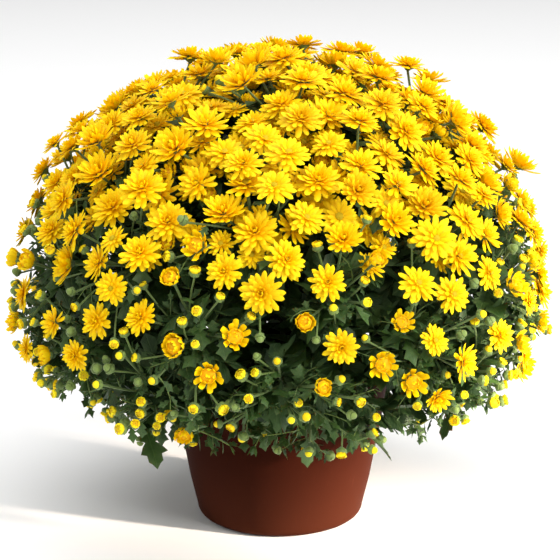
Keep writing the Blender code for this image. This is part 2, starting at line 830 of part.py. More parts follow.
def build_soil(plant, cutters, branches, material):
    """The soil fills the pot with a gap all round, and is mounded in the middle."""
    shrink = WALL + FIT_GAP / math.cos(math.pi / POT_SIDES)
    profile = [
        (0, SOIL_TOP + SOIL_MOUND),
        (0.5 * RIM_RADIUS, SOIL_TOP + 0.7 * SOIL_MOUND),
        (wall_radius(SOIL_TOP - SOIL_MOUND) - shrink, SOIL_TOP - SOIL_MOUND),
        (wall_radius(BASE_ROUND) - shrink - FIT_GAP, BASE_ROUND),
        (wall_radius(WALL) - shrink - BASE_ROUND / 2 - FIT_GAP, WALL + FIT_GAP),
        (0, WALL + FIT_GAP),
    ]
    soil = turned_solid("soil", profile, plant, material)
    feet = [branch.stem[0] - Vector((0, 0, FIT_GAP)) for branch in branches]
    radius = (STEM_RADIUS + FIT_GAP) / math.cos(math.pi / STEM_HOLE_SIDES)
    drill(soil, feet, radius, 2 * STEM_HOLE_DEPTH, STEM_HOLE_SIDES, cutters)


def paint(name, colour, roughness):
    """A plain material."""
    material = bpy.data.materials.new(name)
    material.use_nodes = True
    shader = material.node_tree.nodes["Principled BSDF"]
    shader.inputs["Base Color"].default_value = (*colour, 1.0)
    shader.inputs["Roughness"].default_value = roughness
    shader.inputs["Metallic"].default_value = 0.0
    return material


def main():
    for thing in list(bpy.data.objects):
        bpy.data.objects.remove(thing)
    plant = bpy.data.collections.new("potted_chrysanthemum")
    cutters = bpy.data.collections.new("cutters")
    bpy.context.scene.collection.children.link(plant)
    bpy.context.scene.collection.children.link(cutters)
    plastic = paint("terracotta plastic", (0.22, 0.055, 0.030), 0.42)
    earth = paint("potting soil", (0.030, 0.018, 0.012), 0.95)
    green = paint("leaf green", (0.040, 0.085, 0.022), 0.60)
    yellow = paint("petal yellow", (0.95, 0.62, 0.010), 0.55)
    room = Room()
    draw = random.Random(SEED)
    sprays = plan_sprays(room)
    branches = plan_branches(sprays, room)
    plan_flowers(sprays, room, draw)
    plan_skirts(branches, room, draw)
    plan_leaves(branches, room, draw)
    build_pot(plant, cutters, plastic)
    build_soil(plant, cutters, branches, earth)
    for index, branch in enumerate(branches):
        build_branch(index, branch, green, plant)
    for index, spray in enumerate(sprays):
        build_spray(index, spray, yellow, plant)


if __name__ == "__main__":
    main()
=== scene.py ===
"""A garden chrysanthemum in its nursery pot, dressed for its portrait.

The plant is planned again by the rules and the seeded draw of its solids, so that each of their heads, buds,
stems and leaves has its fine likeness here in the same place. Each spray gets flower heads of closed petals on
green stems, and each branch its bark and its lobed leaves. What the solids leave out grows from the same stems:
smaller heads in the gaps, side buds, shoots over the rim and out of the side, and leafy twigs.

Units are metres. +Z is up, the origin is the middle of the pot's underside, and -Y is the front.
"""

from __future__ import annotations

import logging
import math
import random
from collections.abc import Callable, Sequence
from dataclasses import dataclass, field
from enum import Enum

import bpy
import numpy as np
from mathutils import Matrix, Vector


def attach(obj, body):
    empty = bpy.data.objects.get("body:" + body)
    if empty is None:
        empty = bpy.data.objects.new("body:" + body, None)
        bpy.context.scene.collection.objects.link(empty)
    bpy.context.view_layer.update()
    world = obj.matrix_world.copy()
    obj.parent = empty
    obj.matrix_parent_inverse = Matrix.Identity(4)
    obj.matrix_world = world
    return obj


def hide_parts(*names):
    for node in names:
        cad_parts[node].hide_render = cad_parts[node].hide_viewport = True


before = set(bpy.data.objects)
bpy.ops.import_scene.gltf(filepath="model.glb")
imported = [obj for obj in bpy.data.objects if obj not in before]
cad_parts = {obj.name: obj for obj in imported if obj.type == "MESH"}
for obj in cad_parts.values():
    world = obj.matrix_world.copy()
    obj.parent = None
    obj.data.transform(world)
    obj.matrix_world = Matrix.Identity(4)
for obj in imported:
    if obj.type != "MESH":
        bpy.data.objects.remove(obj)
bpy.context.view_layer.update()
LOG = logging.getLogger("chrysanthemum")

SEED = 255
DRESS_SEED = 77
GOLDEN = math.pi * (3 - math.sqrt(5))

Ball = tuple[Vector, float]
Path = list[Vector]
Colour = tuple[float, float, float]
Span = tuple[float, float]
Socket = bpy.types.NodeSocket
Thing = bpy.types.Object
Things = list[Thing]


class Kind(Enum):
    """How far a flower head has opened."""

    OPEN = "open"
    HALF = "half"
    BUD = "bud"


@dataclass(frozen=True)
class PotSizes:
    """The sizes of a nine inch nursery pan."""

    rim_radius: float = 0.1145
    base_radius: float = 0.0845
    height: float = 0.165
    wall: float = 0.0024
    base_round: float = 0.009
    band_height: float = 0.013
    band_step: float = 0.0025
    soil_top: float = 0.150
    soil_mound: float = 0.004
    fit_gap: float = 0.0003
    drain_holes: int = 5
    drain_ring: float = 0.050
    drain_radius: float = 0.006

    def wall_radius(self, height: float) -> float:
        """The outside of the wall at this height."""
        return self.base_radius + (self.rim_radius - self.base_radius) * height / self.height

    def holds(self, balls: Sequence[Ball], clear: float) -> bool:
        """Whether any ball touches the wall, the rim or the soil.

        Args:
            balls: Centres and radii.
            clear: The gap kept from the pot.

        Returns:
            True if one of them is too close.
        """
        for point, radius in balls:
            out = math.hypot(point.x, point.y)
            over_rim = point.z > self.height + radius + clear
            if not over_rim and out < self.wall_radius(point.z) + self.band_step + radius + clear:
                return True
        return False


@dataclass(frozen=True)
class DomeSizes:
    """The rounded mound that the flower heads lie on."""

    radius: float = 0.264
    waist: float = 0.225
    rise: float = 0.244
    drop: float = 0.140
    facing: float = 0.200
    heart: Vector = field(default_factory=lambda: Vector((0.0, 0.0, 0.190)))

    def point(self, polar: float, azimuth: float, depth: float = 0.0) -> Vector:
        """The point at these angles, that far inside the dome on the way to its heart."""
        rise = self.rise if polar < math.pi / 2 else self.drop
        out = self.radius * math.sin(polar)
        height = self.waist + rise * math.cos(polar)
        surface = Vector((out * math.cos(azimuth), out * math.sin(azimuth), height))
        return surface + (self.heart - surface).normalized() * depth

    def normal(self, polar: float, azimuth: float) -> Vector:
        """The way that the dome faces at these angles."""
        out = (self.rise if polar < math.pi / 2 else self.facing) * math.sin(polar)
        up = self.radius * math.cos(polar)
        return Vector((out * math.cos(azimuth), out * math.sin(azimuth), up)).normalized()

    def depth(self, point: Vector) -> float:
        """Roughly how far a point lies inside the dome, and less than nothing outside it."""
        rise = self.rise if point.z > self.waist else self.drop
        share = math.hypot(point.x, point.y) / self.radius
        return (1 - math.hypot(share, (point.z - self.waist) / rise)) * self.radius


POT = PotSizes()
DOME = DomeSizes()


@dataclass
class Flower:
    """A flower head or bud and the foot of the stem that carries it."""

    kind: Kind
    centre: Vector
    normal: Vector
    radius: float
    spin: float
    foot: Vector

    NECK_DEPTH = {Kind.OPEN: 0.34, Kind.HALF: 0.62, Kind.BUD: 0.96}

    def neck(self) -> Vector:
        """Where the head meets its stem."""
        return self.centre - self.normal * self.radius * self.NECK_DEPTH[self.kind]

    def balls(self) -> list[Ball]:
        """Balls that fill the room of the head."""
        centre, normal, radius, spin = self.centre, self.normal, self.radius, self.spin
        if self.kind is Kind.BUD:
            return [(centre, radius)]
        if self.kind is Kind.HALF:
            cup = ring(centre, normal, spin, 8, 0.76 * radius, 0.20 * radius)
            return [(p, 0.26 * radius) for p in cup] + [(centre - normal * 0.1 * radius, 0.55 * radius)]
        rim = ring(centre, normal, spin, 12, 0.88 * radius)
        middle = ring(centre, normal, spin, 6, 0.52 * radius, 0.05 * radius)
        return (
            [(p, 0.12 * radius) for p in rim]
            + [(p, 0.20 * radius) for p in middle]
            + [(centre, 0.28 * radius), (centre - normal * 0.24 * radius, 0.14 * radius)]
        )


@dataclass
class Leaf:
    """A lobed leaf, from its root on the stem."""

    root: Vector
    along: Vector
    up: Vector
    length: float

    HALF_WIDTH = 0.30
    ARCH = 0.28
    FOLD = 0.22
    BALL = 0.0024

    def point(self, share: float, across: float) -> Vector:
        """A point of the blade: it arches down to its tip, and its sides are raised a little."""
        side = self.up.cross(self.along).normalized()
        half = self.HALF_WIDTH * self.length
        arch = self.ARCH * (0.36 - share) * share * self.length
        fold = self.FOLD * abs(across) * half
        out = self.along * share * self.length + side * across * half
        return self.root + out + self.up * (arch + fold)

    def balls(self) -> list[Ball]:
        """Balls over the blade, in rows across it."""
        rows = ((0.22, 0.5), (0.36, 0.7), (0.5, 0.75), (0.64, 0.85), (0.78, 0.45), (0.95, 0.05))
        return [
            (self.point(share, across), self.BALL)
            for share, width in rows
            for across in (-width, -0.5 * width, 0.0, 0.5 * width, width)
        ]


@dataclass
class Spray:
    """A stalk on a shoot's end, with its flowers."""

    polar: float
    azimuth: float
    base: Vector
    axis: Vector
    flowers: list[Flower] = field(default_factory=list)


@dataclass
class Branch:
    """A woody stem from the soil, its shoots, and the leaves and buds on them."""

    stem: Path
    shoots: list[Path]
    leaves: list[Leaf] = field(default_factory=list)
    skirts: list[Path] = field(default_factory=list)
    buds: list[Flower] = field(default_factory=list)
    sprays: list[Spray] = field(default_factory=list)

    def way(self) -> Vector:
        """The way that the stem runs at its fork."""
        return (self.stem[-1] - self.stem[-2]).normalized()

    def inward(self, line: Path) -> Vector:
        """The way from the end of a shoot straight back to the line of the stem."""
        back = line[0] - line[-1]
        return back - self.way() * back.dot(self.way())


class Room:
    """Keeps balls that stand for what is placed already, in a grid of cells."""

    CLEAR = 0.0009

    def __init__(self, cell: float = 0.010) -> None:
        """Starts empty, with cells of this size."""
        self.cell = cell
        self.cells: dict[tuple[int, int, int], list[tuple[Vector, float, str]]] = {}

    def key(self, point: Vector) -> tuple[int, int, int]:
        """The cell that a point lies in."""
        return tuple(math.floor(c / self.cell) for c in point)

    def add(self, balls: Sequence[Ball], tag: str) -> None:
        """Takes the room of these balls, under a tag."""
        for point, radius in balls:
            self.cells.setdefault(self.key(point), []).append((point, radius, tag))

    def is_free(self, balls: Sequence[Ball], own: Sequence[str] = ()) -> bool:
        """Whether these balls are clear of all others.

        Args:
            balls: Centres and radii.
            own: Tags that they may touch.

        Returns:
            True if nothing else is too close.
        """
        reach = (-1, 0, 1)
        for point, radius in balls:
            i, j, k = self.key(point)
            for cell in ((i + a, j + b, k + c) for a in reach for b in reach for c in reach):
                for other, other_radius, tag in self.cells.get(cell, ()):
                    if tag not in own and (other - point).length < radius + other_radius + self.CLEAR:
                        return False
        return True


def ramp(value: float, start: float, end: float, low: float, high: float) -> float:
    """Runs from low to high as value runs from start to end, and stays level past both."""
    share = min(1.0, max(0.0, (value - start) / (end - start)))
    return low + (high - low) * share


def spread(count: int, last_polar: float, crowding: float = 0.0) -> list[tuple[float, float]]:
    """Angles of points spread evenly over the dome from its top.

    Args:
        count: How many points.
        last_polar: The angle from the top that the last one comes near.
        crowding: How much closer together they stand at the top.

    Returns:
        The angle from the top and the angle round the axis of each.
    """
    steps = 240
    sums = [0.0]
    for step in range(steps):
        polar = (step + 0.5) / steps * last_polar
        across = math.sin(polar) * (1.0 if polar < math.pi / 2 else 0.8)
        sums.append(sums[-1] + across * (1.0 + crowding * math.cos(polar)))
    found = []
    step = 0
    for index in range(count):
        wanted = (index + 0.5) / count * sums[-1]
        while sums[step + 1] < wanted:
            step += 1
        share = (wanted - sums[step]) / (sums[step + 1] - sums[step])
        found.append(((step + share) / steps * last_polar, index * GOLDEN % math.tau))
    return found


def chain(start: Vector, end: Vector, radius: float, spacing: float = 0.004) -> list[Ball]:
    """Balls along a straight stem."""
    count = max(1, math.ceil((end - start).length / spacing))
    return [(start.lerp(end, step / count), radius) for step in range(count + 1)]


def frame_of(normal: Vector, spin: float = 0.0) -> tuple[Vector, Vector]:
    """Two directions across normal, turned by spin."""
    side = normal.cross(Vector((0, 0, 1)) if abs(normal.z) < 0.9 else Vector((0, 1, 0))).normalized()
    other = normal.cross(side)
    return (
        side * math.cos(spin) + other * math.sin(spin),
        other * math.cos(spin) - side * math.sin(spin),
    )


def spin_towards(normal: Vector, way: Vector) -> float:
    """The turn about normal at which the first point of a ring lies towards way."""
    side, other = frame_of(normal)
    return math.atan2(way.dot(other), way.dot(side))


def ring(centre: Vector, normal: Vector, spin: float, count: int, out: float, height: float = 0.0) -> Path:
    """Points round a centre, raised by height along normal."""
    side, other = frame_of(normal, spin)
    angles = (math.tau * index / count for index in range(count))
    return [centre + normal * height + (side * math.cos(a) + other * math.sin(a)) * out for a in angles]


def bezier(start: Vector, bend: Vector, end: Vector, steps: int) -> Path:
    """Points on a curve that leaves start towards bend and comes to end."""
    shares = (step / steps for step in range(steps + 1))
    return [start * (1 - t) ** 2 + bend * 2 * t * (1 - t) + end * t**2 for t in shares]


def turned(axis: Vector, angle: float, rise: float) -> Vector:
    """A direction that leaves an axis to the side, at this turn round it, and leans rise along it."""
    side, other = frame_of(axis)
    return (side * math.cos(angle) + other * math.sin(angle) + axis * rise).normalized()


class PlantPlan:
    """Where every stem, head and leaf of the solids stands, by the rules that made them."""

    FLOWER_POLAR = math.radians(124)
    SPRAY_POLAR = math.radians(113)
    BRANCH_POLAR = math.radians(104)
    BRANCHES = 14
    SPRAYS = 42
    FLOWER_SITES = 354
    SITE_CROWDING = 0.75
    SITE_JITTER = 0.004
    STEM_FOOT_RING = 0.074
    STEM_HOLE_DEPTH = 0.030
    STEM_KNEE = 0.012
    STEM_AIM = 0.6
    SHOOT_RADIUS = 0.0021
    SHOOT_RUN = 0.35
    FORK_DEPTH = 0.118
    SPRAY_DEPTH = 0.072
    STALK_LENGTH = 0.020
    STALK_RADIUS = 0.0019
    WIDEST_STEM = math.radians(72)
    HEAD_RADII = {Kind.OPEN: (0.0180, 0.0238), Kind.HALF: (0.0100, 0.0135), Kind.BUD: (0.0050, 0.0062)}
    OPEN_FADE = (math.radians(58), math.radians(98), 0.97, 0.06)
    HALF_GAIN = (math.radians(50), math.radians(85), 0.02, 0.30)
    HEAD_SHRINK = (math.radians(60), math.radians(100), 1.0, 0.78)
    HEAD_TILT = 0.28
    HEAD_RISE = 0.22
    HEAD_LEAN = 0.5
    HEAD_REST = (-0.005, 0.004)
    HEAD_SIZES = (1.0, 0.93, 0.86, 0.78, 0.70)
    HEAD_LIFTS = (0.0, 0.007, -0.007, 0.013, -0.012)
    NEAR_REACH = 0.011
    STEM_ROOM = (0.0022, 0.0020, 0.0015)
    LEAF_LENGTH = (0.034, 0.050)
    LEAF_SIZES = (1.0, 0.88, 0.76)
    LEAF_STEP = 0.050
    LEAF_TOP = 0.27
    LOW_FACES = (180, 60, 300)
    HIGH_FACES = (180, 300, 60)
    SKIRT_SHOOTS = 24
    SKIRT_TRIES = 40
    SKIRT_POLARS = (126, 144, 134, 150, 130, 140)
    SKIRT_BRANCH_Z = 0.24
    SKIRT_ROOM = 0.0025
    SKIRT_BEND = math.radians(80)
    BUD_RADIUS = 0.0055

    def __init__(self) -> None:
        """Plans sprays, branches, flowers, skirt shoots and leaves, in that order."""
        self.room = Room()
        self.draw = random.Random(SEED)
        self.sprays: list[Spray] = []
        self.branches: list[Branch] = []
        self.plan_sprays()
        self.plan_branches()
        self.plan_flowers()
        self.plan_skirts()
        self.plan_leaves()

    def plan_sprays(self) -> None:
        """The stalks of the sprays, spread over the inside of the dome."""
        for polar, azimuth in spread(self.SPRAYS, self.SPRAY_POLAR, 0.15):
            base = DOME.point(polar, azimuth, self.SPRAY_DEPTH)
            axis = (DOME.point(polar, azimuth) - base).normalized()
            balls = chain(base, base + axis * self.STALK_LENGTH, self.STALK_RADIUS)
            self.room.add(balls, f"near {len(self.sprays)}")
            self.sprays.append(Spray(polar, azimuth, base, axis))

    def plan_branches(self) -> None:
        """The woody branches: each rises from its own hole and forks to the sprays nearest to it."""
        aims = spread(self.BRANCHES, self.BRANCH_POLAR, 0.1)
        groups: list[list[Spray]] = [[] for _ in aims]
        for spray in self.sprays:
            point = DOME.point(spray.polar, spray.azimuth)
            nearest = min(range(self.BRANCHES), key=lambda k: (DOME.point(*aims[k]) - point).length)
            groups[nearest].append(spray)
        for index, ((_, azimuth), members) in enumerate(zip(aims, groups)):
            out = self.STEM_FOOT_RING * math.sqrt((index + 0.3) / self.BRANCHES)
            foot = Vector((out * math.cos(azimuth), out * math.sin(azimuth), POT.soil_top))
            floor = foot - Vector((0, 0, self.STEM_HOLE_DEPTH - 2 * POT.fit_gap))
            middle = sum((s.base for s in members), Vector()) / len(members)
            fork = middle + (DOME.heart - middle).normalized() * (self.FORK_DEPTH - self.SPRAY_DEPTH)
            knee = foot + Vector((0, 0, self.STEM_KNEE))
            bend = (knee + Vector((0, 0, 0.5 * (fork.z - foot.z)))).lerp(fork - (middle - fork), self.STEM_AIM)
            branch = Branch([floor] + bezier(knee, bend, fork, 3), [], sprays=members)
            for spray in members:
                end = spray.base - spray.axis * 0.5 * POT.fit_gap
                run = self.SHOOT_RUN * (end - fork).length
                branch.shoots.append([fork, end - spray.axis * run, end])
            for line in [branch.stem] + branch.shoots:
                for start, end in zip(line, line[1:]):
                    near, far = self.split_balls(chain(start, end, self.SHOOT_RADIUS), fork)
                    self.room.add(near, f"fork {index}")
                    self.room.add(far, f"branch {index}")
            self.branches.append(branch)

    def split_balls(self, balls: Sequence[Ball], fork: Vector) -> tuple[list[Ball], list[Ball]]:
        """Parts the balls that lie near a fork, where stems may touch, from the others."""
        near = [ball for ball in balls if (ball[0] - fork).length < self.NEAR_REACH]
        far = [ball for ball in balls if (ball[0] - fork).length >= self.NEAR_REACH]
        return near, far

    def plan_flowers(self) -> None:
        """The flowers, on sites spread over the dome, each given to the nearest spray."""
        for polar, azimuth in spread(self.FLOWER_SITES, self.FLOWER_POLAR, self.SITE_CROWDING):
            azimuth += self.draw.uniform(-self.SITE_JITTER, self.SITE_JITTER) / DOME.radius
            polar += self.draw.uniform(-self.SITE_JITTER, self.SITE_JITTER) / DOME.radius
            point = DOME.point(polar, azimuth)
            crowns = [DOME.point(spray.polar, spray.azimuth) for spray in self.sprays]
            nearest = min(range(self.SPRAYS), key=lambda k: (crowns[k] - point).length)
            self.place_flower(nearest, polar, azimuth)

    def kind_at(self, polar: float) -> Kind:
        """Open heads at the top, then half open ones, and mostly buds at the skirt."""
        opened = ramp(polar, *self.OPEN_FADE)
        half = ramp(polar, *self.HALF_GAIN)
        share = self.draw.random()
        if share < opened:
            return Kind.OPEN
        return Kind.HALF if share < opened + half else Kind.BUD

    def place_flower(self, index: int, polar: float, azimuth: float) -> None:
        """Tries a head at this place, further out and in and in smaller sizes, until it has room."""
        spray = self.sprays[index]
        kind = self.kind_at(polar)
        radius = self.draw.uniform(*self.HEAD_RADII[kind])
        radius *= ramp(polar, *self.HEAD_SHRINK) if kind is Kind.OPEN else 1.0
        tilt = Vector([self.draw.uniform(-self.HEAD_TILT, self.HEAD_TILT) for _ in range(3)])
        foot = spray.base + spray.axis * self.STALK_LENGTH
        inward = foot - DOME.point(polar, azimuth)
        if (-inward).angle(spray.axis) > self.WIDEST_STEM:
            return
        lean = Vector((0, 0, self.HEAD_RISE)) - inward.normalized() * self.HEAD_LEAN
        normal = (DOME.normal(polar, azimuth) + tilt + lean).normalized()
        spin = spin_towards(normal, inward - spray.axis * inward.dot(spray.axis))
        rest = self.draw.uniform(*self.HEAD_REST)
        for size in self.HEAD_SIZES:
            for lift in self.HEAD_LIFTS:
                centre = DOME.point(polar, azimuth, rest - lift)
                flower = Flower(kind, centre, normal, radius * size, spin, foot)
                if self.try_flower(flower, index):
                    spray.flowers.append(flower)
                    return

    def try_flower(self, flower: Flower, index: int) -> bool:
        """Takes the room of a flower and its stem if it is free."""
        neck = flower.neck()
        turn_off = flower.foot + (neck - flower.foot).normalized() * self.NEAR_REACH
        halfway = turn_off.lerp(neck, 0.5)
        near_room, middle_room, far_room = self.STEM_ROOM
        near = chain(flower.foot.lerp(turn_off, 0.4), turn_off, near_room)
        far = chain(turn_off, halfway, middle_room) + chain(halfway, neck, far_room)
        own = {f"near {index}"}
        if not (self.room.is_free(flower.balls()) and self.room.is_free(far, own)):
            return False
        if not self.room.is_free(near, own | {f"far {index}"}):
            return False
        self.room.add(flower.balls(), f"head {index}")
        self.room.add(far, f"far {index}")
        self.room.add(near, f"near {index}")
        return True

    def plan_skirts(self) -> None:
        """Short drooping shoots round the bottom of the plant, each with a bud on its end."""
        low = [k for k, b in enumerate(self.branches) if min(s.base.z for s in b.sprays) < self.SKIRT_BRANCH_Z]
        for count in range(self.SKIRT_SHOOTS):
            for attempt in range(self.SKIRT_TRIES):
                azimuth = math.tau * (count + self.draw.uniform(0.0, 1.0)) / self.SKIRT_SHOOTS
                polar = self.SKIRT_POLARS[(count + attempt) % len(self.SKIRT_POLARS)]
                end = DOME.point(math.radians(polar), azimuth, self.draw.uniform(0.0, 0.02))
                index = min(low, key=lambda k: (self.branches[k].stem[-1] - end).length)
                if self.try_skirt(index, end, self.draw.uniform(0.010, 0.034)):
                    break

    def try_skirt(self, index: int, end: Vector, rise: float) -> bool:
        """Adds a drooping shoot from a branch's fork to this end, with its bud, if there is room for both."""
        branch = self.branches[index]
        start = branch.stem[-1]
        line = bezier(start, start.lerp(end, 0.6) + Vector((0, 0, rise)), end, 3)
        balls = [ball for a, b in zip(line, line[1:]) for ball in chain(a, b, self.SKIRT_ROOM)]
        normal = (line[-1] - line[-2]).normalized()
        spin = spin_towards(normal, branch.inward(line))
        bud = Flower(Kind.BUD, end + normal * 1.6 * self.BUD_RADIUS, normal, self.BUD_RADIUS, spin, end)
        near, far = self.split_balls(balls, start)
        far += bud.balls()
        if branch.way().angle(line[1] - start) > self.SKIRT_BEND or POT.holds(far, Room.CLEAR):
            return False
        if not self.room.is_free(far) or not self.room.is_free(near, {f"fork {index}"}):
            return False
        self.room.add(near, f"fork {index}")
        self.room.add(far, f"branch {index}")
        branch.skirts.append(line)
        branch.buds.append(bud)
        return True

    def plan_leaves(self) -> None:
        """Leaves up each shoot, wherever they find room, and on the tops of the lower stems."""
        for index, branch in enumerate(self.branches):
            if branch.stem[-1].z < self.SKIRT_BRANCH_Z:
                inward = -Vector((branch.stem[-1].x, branch.stem[-1].y, 0))
                for share in (0.55, 0.8):
                    root = branch.stem[-2].lerp(branch.stem[-1], share)
                    self.grow_leaf(index, root, branch.way(), inward, self.LOW_FACES)
            for line in branch.skirts + branch.shoots:
                faces = self.LOW_FACES if line in branch.skirts else self.HIGH_FACES
                inward = branch.inward(line)
                for start, end in zip(line, line[1:]):
                    if start == line[0] and end.z > self.LEAF_TOP:
                        continue
                    axis = (end - start).normalized()
                    count = max(1, round((end - start).length / self.LEAF_STEP))
                    for step in range(count):
                        root = start.lerp(end, (step + 0.8) / count)
                        self.grow_leaf(index, root, axis, inward, faces)

    def grow_leaf(self, index: int, root: Vector, axis: Vector, inward: Vector, faces: Sequence[int]) -> None:
        """Tries the faces of a shoot in turn, and shorter leaves, until one has room."""
        length = self.draw.uniform(*self.LEAF_LENGTH)
        for size in self.LEAF_SIZES:
            for face in faces:
                turn = spin_towards(axis, inward) + math.radians(face + self.draw.uniform(-22, 22))
                droop = self.draw.uniform(0.0, 0.4) if faces is self.LOW_FACES else 0.1
                along = (turned(axis, turn, 0.7) - Vector((0, 0, droop))).normalized()
                if self.try_leaf(index, root, along, length * size):
                    return

    def try_leaf(self, index: int, root: Vector, along: Vector, length: float) -> bool:
        """Adds a leaf if there is room for it clear of all that is placed."""
        flat = Vector((0, 0, 1)) - along * along.z
        if flat.length < 0.15:
            out = Vector((root.x, root.y, 0))
            flat = out - along * along.dot(out)
        leaf = Leaf(root, along, flat.normalized(), length)
        balls = leaf.balls()
        if POT.holds(balls, Room.CLEAR) or not self.room.is_free(balls):
            return False
        self.room.add(balls, f"leaves {index}")
        self.branches[index].leaves.append(leaf)
        return True


class NodeTree:
    """A short way to add shader nodes to a material and join them."""

    def __init__(self, name: str) -> None:
        """Starts a material with a Principled shader."""
        self.material = bpy.data.materials.new(name)
        self.material.use_nodes = True
        self.tree = self.material.node_tree
        self.shader = self.tree.nodes["Principled BSDF"]

    def add(self, kind: str, inputs: dict | None = None, **settings: object) -> bpy.types.Node:
        """Adds a node.

        Args:
            kind: The node's type name without its ShaderNode prefix.
            inputs: A value or an output socket for each named or numbered input.
            settings: Values of the node's own properties.

        Returns:
            The new node.
        """
        node = self.tree.nodes.new("ShaderNode" + kind)
        for key, value in settings.items():
            setattr(node, key, value)
        for key, value in (inputs or {}).items():
            self.feed(node.inputs[key], value)
        return node

    def feed(self, socket: Socket, value: object) -> None:
        """Sets a socket to a value, or joins an output to it."""
        if isinstance(value, Socket):
            self.tree.links.new(value, socket)
        elif hasattr(socket.default_value, "__len__") and len(socket.default_value) == 4:
            socket.default_value = (*value[:3], 1.0)
        else:
            socket.default_value = value

    def attribute(self, name: str) -> Socket:
        """A number that the mesh carries at each point."""
        return self.add("Attribute", attribute_name=name).outputs["Fac"]

    def uv(self) -> tuple[Socket, Socket]:
        """How far across and how far along its blade a point lies."""
        split = self.add("SeparateXYZ", {0: self.add("UVMap", uv_map="UVMap").outputs[0]})
        return split.outputs[0], split.outputs[1]

    def maths(self, operation: str, *values: object) -> Socket:
        """A Math node, held between nought and one for the operation named with a star."""
        node = self.add("Math", dict(enumerate(values)), operation=operation.rstrip("*"))
        node.use_clamp = operation.endswith("*")
        return node.outputs[0]

    def blend(self, share: object, first: object, second: object, mode: str = "MIX") -> Socket:
        """Two colours mixed by share."""
        node = self.add("Mix", data_type="RGBA", blend_type=mode)
        for socket, value in ((0, share), (6, first), (7, second)):
            self.feed(node.inputs[socket], value)
        return node.outputs[2]

    def ramp(self, share: object, stops: Sequence[tuple[float, Colour]]) -> Socket:
        """A colour for a number, from stops in order."""
        node = self.add("ValToRGB", {0: share})
        elements = node.color_ramp.elements
        while len(elements) < len(stops):
            elements.new(0.5)
        for element, (place, colour) in zip(elements, stops):
            element.position = place
            element.color = (*colour, 1.0)
        return node.outputs[0]

    def noise(self, vector: object, scale: float, detail: float = 2.0) -> Socket:
        """Soft noise from nought to one."""
        return self.add("TexNoise", {"Vector": vector, "Scale": scale, "Detail": detail}).outputs[0]

    def settle(self, values: dict[str, object]) -> None:
        """Gives the shader's own sockets their values or colours."""
        for name, value in values.items():
            self.feed(self.shader.inputs[name], value)

    def bump(self, height: object, strength: float, distance: float) -> None:
        """Raises the surface by a height from nought to one."""
        node = self.add("Bump", {"Height": height, "Strength": strength, "Distance": distance})
        self.settle({"Normal": node.outputs[0]})


@dataclass(frozen=True)
class PetalFinish:
    """Golden yellow petals: deeper orange at the root as painted shade in the heart of the head, paler at the
    tip, streaked along, browned with age.
    """

    # root to tip runs from painted shade at the heart of the head to the plain yellow of the petal's end
    root: Colour = (0.90, 0.45, 0.0)
    middle: Colour = (0.98, 0.62, 0.001)
    tip: Colour = (1.0, 0.73, 0.003)
    pale: Colour = (0.95, 0.84, 0.02)
    brown: Colour = (0.36, 0.15, 0.02)
    olive: Colour = (0.36, 0.33, 0.01)

    def material(self) -> bpy.types.Material:
        """The petals' material."""
        nodes = NodeTree("petal_yellow")
        across, along = nodes.uv()
        stretched = nodes.add("CombineXYZ", {0: nodes.maths("MULTIPLY", across, 9.0), 1: along})
        streaks = nodes.noise(stretched.outputs[0], 2.2)
        # painted shade: each petal darkens to orange towards its root, where the head is shaded
        colour = nodes.ramp(along, ((0.0, self.root), (0.45, self.middle), (1.0, self.tip)))
        colour = nodes.blend(nodes.maths("MULTIPLY", streaks, 0.30), colour, self.middle)
        colour = nodes.blend(nodes.attribute("tint"), colour, self.pale)
        aged = nodes.maths("MULTIPLY*", nodes.attribute("age"), nodes.maths("ADD", streaks, 0.35))
        colour = nodes.blend(aged, colour, self.brown)
        colour = nodes.blend(nodes.attribute("core"), colour, self.olive)
        nodes.settle({"Base Color": colour, "Roughness": 0.52, "Specular IOR Level": 0.12})
        bleed = {"Subsurface Weight": 0.12, "Subsurface Radius": (1.0, 0.6, 0.08), "Subsurface Scale": 0.002}
        nodes.settle(bleed)
        nodes.bump(streaks, 0.35, 0.0004)
        return nodes.material


